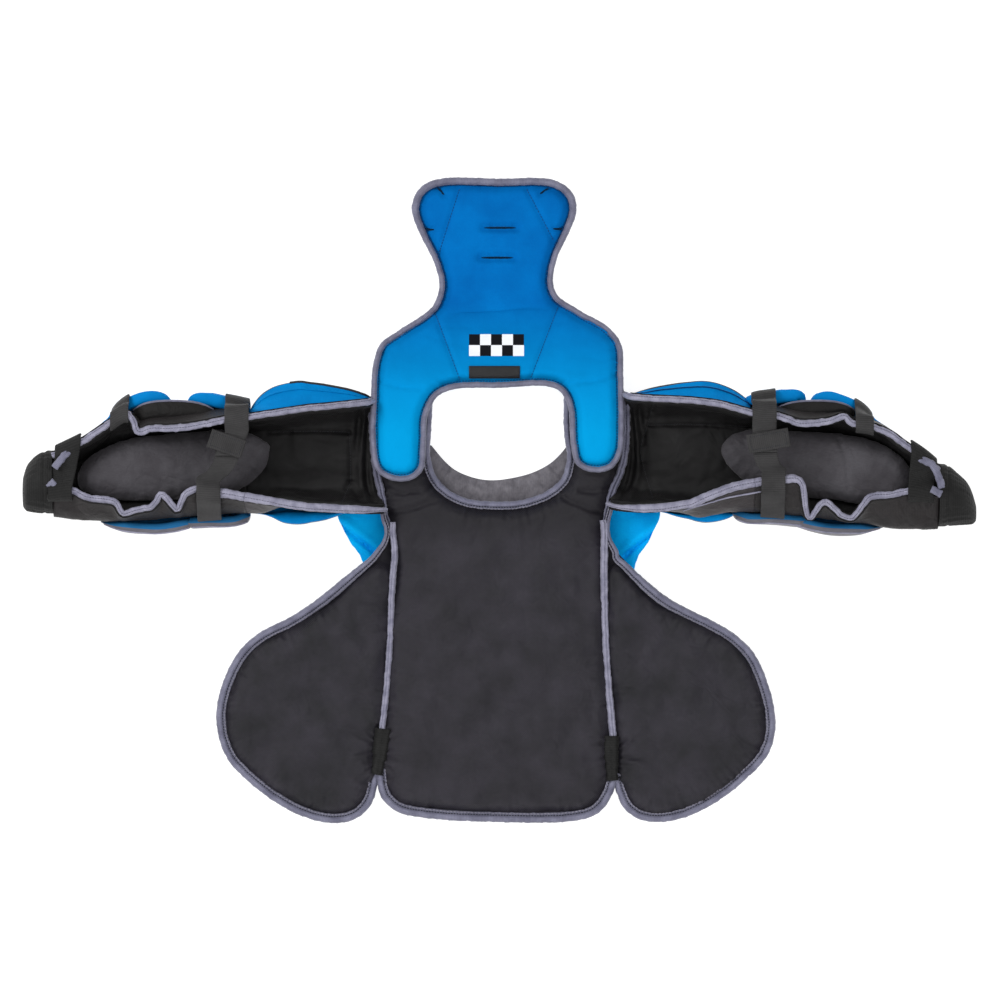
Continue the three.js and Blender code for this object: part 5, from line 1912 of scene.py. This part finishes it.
    def wrist(self) -> None:
        """Makes the gathered elastic cuff and the folded hem beside the wrist strap."""
        table = bend(self.cuff)
        along = np.linspace(table[0, 0], table[-1, 0], 30)
        angle = np.linspace(0.0, 2.0 * math.pi, 121)
        y, across, tall = (np.interp(along, table[:, 0], table[:, k])[:, None] for k in (1, 2, 3))
        swing = wrinkle(angle[None] * 30.0 + 0.3 * along[:, None], 7.0, 101)
        fade = ease(along, along[0], along[0] + 6.0) * ease(-along, -along[-1] - 0.1, -along[-1] + 5.0)
        seam = 1.0 * hump(along - along[0] - 9.0, 1.3)
        end = 2.5 * np.clip((along - along[-1] + 4.0) / 4.0, 0.0, 1.0) ** 2
        swing = 0.7 * swing * fade[:, None] - seam[:, None] - end[:, None]
        aside, above, middle = np.cos(angle)[None], np.sin(angle)[None], tall + 0.6
        outer = np.stack([
            np.broadcast_to(self.side.value * along[:, None], swing.shape),
            y + (across + swing - 0.4) * aside, middle + (tall + swing - 0.4) * above], axis=2)
        inner = np.stack([
            outer[:, :, 0], y + (across - 3.6) * aside, middle + (tall - 3.6) * above], axis=2)
        outer[:, -1], inner[:, -1] = outer[:, 0], inner[:, 0]
        piece = shell(self.name("cuff_elastic"), inner, outer, wraps=True)
        settle(piece, [ELASTIC] * 3, self.name("cuff"))
        shape = TapeShape(
            half_wide=3.6, half_tall=2.2, turns=24, notch=0.3, notch_at=100.0, pucker=0.5, seed=103)
        for i, rows in enumerate(self.hems):
            line = Line.through(self.mirrored(rows), 1.5)
            settle(shape.sew(self.name(f"wrist_hem_{i + 1}"), line), [TAPE])


# Studio

@dataclass
class Studio:
    """The pale floor, soft light and the camera straight above."""

    distance: float = 8.0
    span: float = 1.0
    level: float = 0.035
    bright_side: tuple[float, float, float] = (-0.2, -0.2, 0.96)

    def build(self) -> None:
        """Makes the floor, the lights and the camera."""
        self.floor()
        self.lights()
        self.camera()

    def floor(self) -> None:
        """Lays a plain pale floor."""
        shape = bmesh.new()
        bmesh.ops.create_grid(shape, x_segments=1, y_segments=1, size=6.0)
        piece = new_piece("floor", shape)
        made = bpy.data.materials.new("pale_floor")
        made.use_nodes = True
        shader = made.node_tree.nodes["Principled BSDF"]
        values = {"Base Color": (0.4, 0.4, 0.4, 1.0), "Roughness": 0.9, "Specular IOR Level": 0.1,
                  "Emission Color": (1.0, 1.0, 1.0, 1.0), "Emission Strength": 0.82}
        for name, value in values.items():
            shader.inputs[name].default_value = value
        piece.data.materials.append(made)

    def lights(self) -> None:
        """Hangs soft boxes and lights the room with a sky that is brighter towards one side."""
        world = bpy.data.worlds.new("studio")
        bpy.context.scene.world = world
        world.use_nodes = True
        bench = NodeBench(world.node_tree)
        ray = bench.add("ShaderNodeTexCoord").outputs["Generated"]
        facing = bench.add("ShaderNodeVectorMath", {0: ray, 1: self.bright_side}, operation="DOT_PRODUCT")
        strength = bench.add(
            "ShaderNodeMapRange", {0: facing.outputs["Value"], 1: -0.2, 2: 1.0, 3: 0.12, 4: 0.95})
        sky = world.node_tree.nodes["Background"]
        sky.inputs["Color"].default_value = (1.0, 1.0, 1.0, 1.0)
        world.node_tree.links.new(strength.outputs[0], sky.inputs["Strength"])
        boxes = (((-1.7, 0.9, 1.7), 0.9, 30.0), ((1.6, 0.8, 1.9), 1.2, 14.0), ((0.2, -1.9, 1.5), 1.2, 18.0))
        for i, (place, size, power) in enumerate(boxes):
            lamp = bpy.data.lights.new(f"soft_box_{i}", "AREA")
            lamp.size = size
            lamp.energy = power
            box = bpy.data.objects.new(lamp.name, lamp)
            box.location = place
            box.rotation_mode = "QUATERNION"
            box.rotation_quaternion = (Vector((0.0, 0.0, 0.0)) - Vector(place)).to_track_quat("-Z", "Y")
            bpy.context.collection.objects.link(box)
        scene = bpy.context.scene
        scene.view_settings.view_transform = "Standard"
        scene.view_settings.look = "None"

    def camera(self) -> None:
        """Stands the camera straight above, so that the frame is a metre wide at sleeve height."""
        lens = bpy.data.cameras.new("camera")
        lens.sensor_width = 36.0
        lens.lens = 36.0 * (self.distance - self.level) / self.span
        lens.clip_end = 50.0
        stand = bpy.data.objects.new("camera", lens)
        stand.location = (0.0, 0.0, self.distance)
        bpy.context.collection.objects.link(stand)
        bpy.context.scene.camera = stand


LEFT_WING = SideWing(
    Side.LEFT,
    outer=(
        (-121, -49), (-130, -58), (-150, -75), (-180, -100), (-210, -120), (-238, -134), (-257, -150),
        (-272, -175), (-281, -205), (-281, -230), (-272, -257), (-250, -281), (-222, -302), (-194, -316),
        (-165, -321.5), (-143, -316), (-131, -303), (-123.5, -284)),
    seam=(
        (-127.4, -268), (-127.4, -246), (-127.2, -231), (-121.4, -222), (-118.6, -190), (-114.2, -110),
        (-112.8, -76)),
    lead=((-118, -9), (-116, -19.4), (-113.4, -27), (-113, -34), (-115.6, -42.7), (-123.3, -53.8)),
    end=(-125.5, -271.0),
    tip=(
        (-115, -18), (-112.6, -27), (-112, -34), (-114.6, -43), (-122, -54), (-134, -65), (-150, -80),
        (-140, -104), (-113, -104), (-109.6, -76), (-108, -58), (-108, -47), (-109.6, -32), (-110.6, -20)),
    tape_out=6.3, pad_trim=13.0, pad_fold=((-160, -26), (-126, -52)), tab=(-124.0, -252.0))
RIGHT_WING = SideWing(
    Side.RIGHT,
    outer=(
        (117, -54), (126, -62), (143, -79), (166, -98), (190, -111.5), (212, -122), (235, -136),
        (254, -155), (266, -181), (274, -212), (274, -235), (266, -257), (247.5, -277), (222.5, -297.5),
        (196, -312.5), (170, -320.5), (144, -320), (126, -309), (116.5, -289)),
    seam=(
        (122.4, -272), (122.4, -250), (122.2, -237), (116.2, -229), (114.9, -200), (111.8, -140),
        (110.3, -78)),
    lead=((110.8, -8), (107.6, -21), (107.2, -32), (109.4, -41), (115.4, -52)), end=(116.0, -275.0),
    tip=(
        (109, -16), (107.2, -22), (106.6, -32), (109, -42), (115, -53), (126, -64), (142, -82),
        (132, -106), (108, -106), (107, -90), (107, -60), (107.2, -40), (106.2, -30), (106.4, -18)),
    tape_out=5.2, pad_trim=8.5, pad_fold=((124, -57), (155, -32)), tab=(119.0, -258.0),
    fills=((224, -284, 30, -1.7), (131, -297, 17, 2.8)))
LEFT_ARM = Arm(
    Side.LEFT,
    armhole=ChestPanel.left_armhole,
    top_rim=(
        (134, 98, 48), (160, 96, 62), (190, 91.5, 72), (220, 87, 76), (254, 82, 76), (274, 80, 76),
        (300, 75, 76), (328, 72, 74), (346, 72, 72), (360, 69, 70), (366, 80, 70), (372, 86, 70),
        (388, 77, 67), (402, 67.5, 64), (415, 59, 60), (446, 44, 52)),
    low_rim=(
        (134, -9.5, 46), (162, -9.5, 58), (190, -7, 68), (220, -2.5, 72), (254, 2.5, 72), (288, 8, 72),
        (300, 10.3, 72), (306, 8.5, 71), (313, 4.6, 68), (317, -2, 64), (322, -10, 60), (327, -5, 64),
        (332, 1, 67), (337, 4.3, 68), (342, -2, 64), (348, -7.5, 60), (355, -8.8, 59), (363, -10.5, 57),
        (370, -12.5, 56), (376, -13.6, 56), (380, -8, 57), (384, -3, 58), (393, -1, 57.5), (411, 1, 56),
        (427, 8, 54), (446, 8, 52)),
    wall=((134, 99, -9), (190, 96, -11), (250, 87, -8), (330, 83, -13), (400, 70, -16), (446, 45, -12)),
    liner_rows=(
        (-236, 52), (-262, 64), (-300, 63), (-335, 60), (-368, 56), (-396, 46), (-414, 32), (-417, 16),
        (-404, 9), (-380, 5), (-345, 5), (-300, 8), (-266, 14), (-242, 32)),
    elbow_strap=(262.0, 272.0, 290.0, 54.0), guard_shift=0.0, wrist_lean=9.0, low_tuck=(212.0, 240.0),
    elbow_lean=(-0.3, 0.3), forearm_lean=(-0.3, 0.5),
    cap_rows=(
        (132, -3, 26, 0.6, -6, 14, 0.6), (144, 0.6, 33, 1.5, -6, 16, 0.6), (155, 4.6, 37, 4, -6, 18, 0.6),
        (170, 10.6, 41, 6, -5, 24, 1), (178, 13.4, 42, 6, 0, 29, 4), (186, 16.4, 43, 6, 4.4, 33, 9),
        (200, 20.2, 44, 6, 7.7, 36, 12), (215, 20.6, 44, 6, 7.5, 34, 11), (228, 18.6, 42, 6, 3, 26, 4),
        (238, 13, 39, 5, 0.8, 18, 0.8), (246, 4, 35, 2, 0, 16, 0.6), (250, -2, 30, 0.6, -1, 14, 0.6)),
    elbow_rows=(
        (250, 6, 40, 6, 5, 30, 5), (255, 7.6, 46, 9, 9, 37, 10), (265, 10.4, 51, 12, 12, 42, 10.5),
        (277, 13, 53, 13, 12.6, 43, 10.5), (290, 16, 53, 13, 11.8, 43, 10.5),
        (300, 17, 53, 13, 11.5, 43, 10.5), (305, 15.4, 52, 12, 11.3, 42, 10.5),
        (309, 10, 46, 9, 11, 41, 10), (312, 5, 42, 4, 10.5, 40, 9)),
    forearm_rows=(
        (308, 1, 26, 0.7, 10, 39, 9), (320, 1, 28, 0.7, 12.6, 41, 10.5), (328, 3, 36, 2, 13.8, 42, 10.5),
        (331, 10, 46, 7, 14, 42, 10.5), (336, 18.9, 51, 12, 14.6, 42, 10.5),
        (345, 23.6, 53, 13, 14.8, 41, 10.5), (356, 24.2, 53, 13, 14, 41, 10.5),
        (366, 21.8, 52, 13, 12.8, 39, 10.5), (376, 18, 48, 11, 10.8, 36, 9.5), (384, 13, 42, 8, 8, 33, 7),
        (391, 5, 34, 3, 5.2, 28, 4), (400, 1, 24, 0.7, 0.9, 20, 0.6)),
    hems=(
        ((444, 32, 60), (438, 40, 61.5), (432, 46, 62), (427, 51, 61)), ((444, 19, 59), (450, 12.5, 57))),
    patch=(272.0, 56.0, 36.0, -19.0),
    cuff=((446.8, 18, 32, 29), (460, 17, 30.5, 28), (472.5, 12.2, 24, 24), (477.5, 8, 18, 19)),
    floor_seams=(
        ((232, 68), (190, 69), (151, 68)), ((151, 68), (150, 45), (150, 18)), ((150, 18), (159, -5))))
RIGHT_ARM = Arm(
    Side.RIGHT,
    armhole=ChestPanel.right_armhole,
    top_rim=(
        (134, 104, 48), (155, 102, 62), (190, 99, 72), (220, 95, 76), (254, 86, 76), (276, 84, 76),
        (300, 77, 76), (328, 79, 74), (343, 83, 72), (350, 77, 70), (368, 74, 68), (388, 66, 64),
        (402, 56, 60), (424, 41.5, 55), (438, 30, 50)),
    low_rim=(
        (134, -4.5, 46), (155, -7.5, 58), (173, -8, 65), (193, -3, 68), (210, 4, 70), (235, 12.5, 72),
        (254, 16, 72), (284, 19.5, 72), (296, 18.8, 72), (301, 13, 70), (303, 4, 66), (304.4, -6, 62),
        (306.4, -15, 58.5), (309.4, -17, 58), (314, -12, 60), (320, -4.5, 65), (324, -2.8, 66),
        (333, -8.8, 61), (341, -15.5, 57), (350.7, -17.5, 56), (357, -12, 58), (363, -4, 60),
        (369, 1.5, 60), (389, 3.5, 58), (412, 7.5, 55), (438, 6, 50)),
    wall=((134, 104, -8), (190, 101, -12), (250, 91, -6), (330, 84, -14), (400, 62, -23), (438, 32, -24)),
    liner_rows=(
        (226, 50), (236, 61), (262, 65), (300, 63), (335, 61), (365, 56), (390, 45), (408, 26), (408, 8),
        (390, 0), (362, 1), (335, 6), (300, 9), (262, 16), (238, 32)),
    elbow_strap=(263.0, 264.0, 272.0, 58.0), guard_shift=-16.0, wrist_lean=-3.0, low_tuck=(172.0, 200.0),
    elbow_lean=(-0.4, 1.0), forearm_lean=(0.2, 0.8),
    welt=((177, -12.5), (193, -7.2), (210, -2.4), (224, 1.7), (260, 8.4)),
    cap_rows=(
        (144, -3, 26, 0.6, -6, 14, 0.6), (156, 0, 33, 1.5, -6, 16, 0.6), (166, 4.2, 37, 4, -6, 18, 0.6),
        (178, 9, 41, 6, -5, 24, 0.8), (184, 11.4, 42, 6, -1.5, 28, 2.6), (190, 13.4, 43, 6, 1.4, 32, 5),
        (204, 16.4, 44, 6, 5.6, 36, 10), (216, 16.6, 44, 6, 6.4, 34, 10), (228, 14.4, 42, 6, 5, 28, 6),
        (238, 10.4, 39, 5, 0.8, 18, 0.8), (246, 5, 35, 2, -3, 16, 0.6), (250, 0, 30, 0.6, -6, 14, 0.6)),
    elbow_rows=(
        (233, 1, 26, 0.7, 3, 30, 4), (239, 1.5, 30, 1, 8, 37, 9), (245, 4, 38, 4, 11, 41, 10.5),
        (249, 7, 45, 8, 12, 42, 10.5), (257, 10.4, 51, 12, 12.4, 43, 10.5),
        (268, 12.8, 53, 13, 12, 43, 10.5), (282, 15.8, 53, 13, 11.6, 43, 10.5),
        (293, 17.4, 53, 13, 11.4, 42, 10.5), (299, 16, 52, 12, 11.2, 42, 10.5),
        (303, 8, 45, 7, 11, 41, 10), (306, 3, 40, 3, 10.5, 40, 9)),
    forearm_rows=(
        (292, 1, 26, 0.7, 10, 39, 9), (304, 1, 28, 0.7, 12.6, 41, 10.5), (310, 3, 36, 2, 14, 42, 10.5),
        (314, 10, 46, 7, 14.6, 42, 10.5), (320, 16.5, 51, 12, 15.4, 42, 10.5),
        (329, 19.5, 53, 13, 16, 41, 10.5), (340, 18.4, 53, 13, 15.4, 41, 10.5),
        (350, 16.4, 52, 13, 13.8, 39, 10.5), (360, 13.6, 48, 11, 11.2, 36, 9.5),
        (367, 10, 42, 8, 8.2, 33, 7), (374, 4, 34, 3, 5.2, 28, 4), (384, 1, 24, 0.7, 0.9, 20, 0.6)),
    hems=(
        ((416, 42, 61), (424, 39, 62), (431, 34.5, 62), (437, 24, 61), (440.5, 12, 59)),
        ((430, 11, 60), (440, 6, 58))),
    patch=(267.0, 59.0, 42.0, -10.0),
    cuff=(
        (438.8, 5, 32, 29), (448, 4, 30.5, 28), (460, 0, 25.5, 25), (469, -4.5, 20.5, 21),
        (477, -13, 11, 14)),
    floor_seams=(
        ((250, 74), (190, 76), (148, 75)), ((154, 98), (148, 75), (141, 50), (145, 30), (153, 2))),
    liner_seams=(((339, 60), (346, 40), (348, 8)),))


def main() -> None:
    """Builds the protector piece by piece, then the studio."""
    logging.basicConfig(level=logging.INFO, format="%(name)s %(message)s")
    assemblies = (ChestPanel(), LEFT_WING, RIGHT_WING, BackPad(), Collar(), LEFT_ARM, RIGHT_ARM, Studio())
    for assembly in assemblies:
        assembly.build()
        LOG.info("%s done", type(assembly).__name__)


if __name__ == "__main__":
    main()
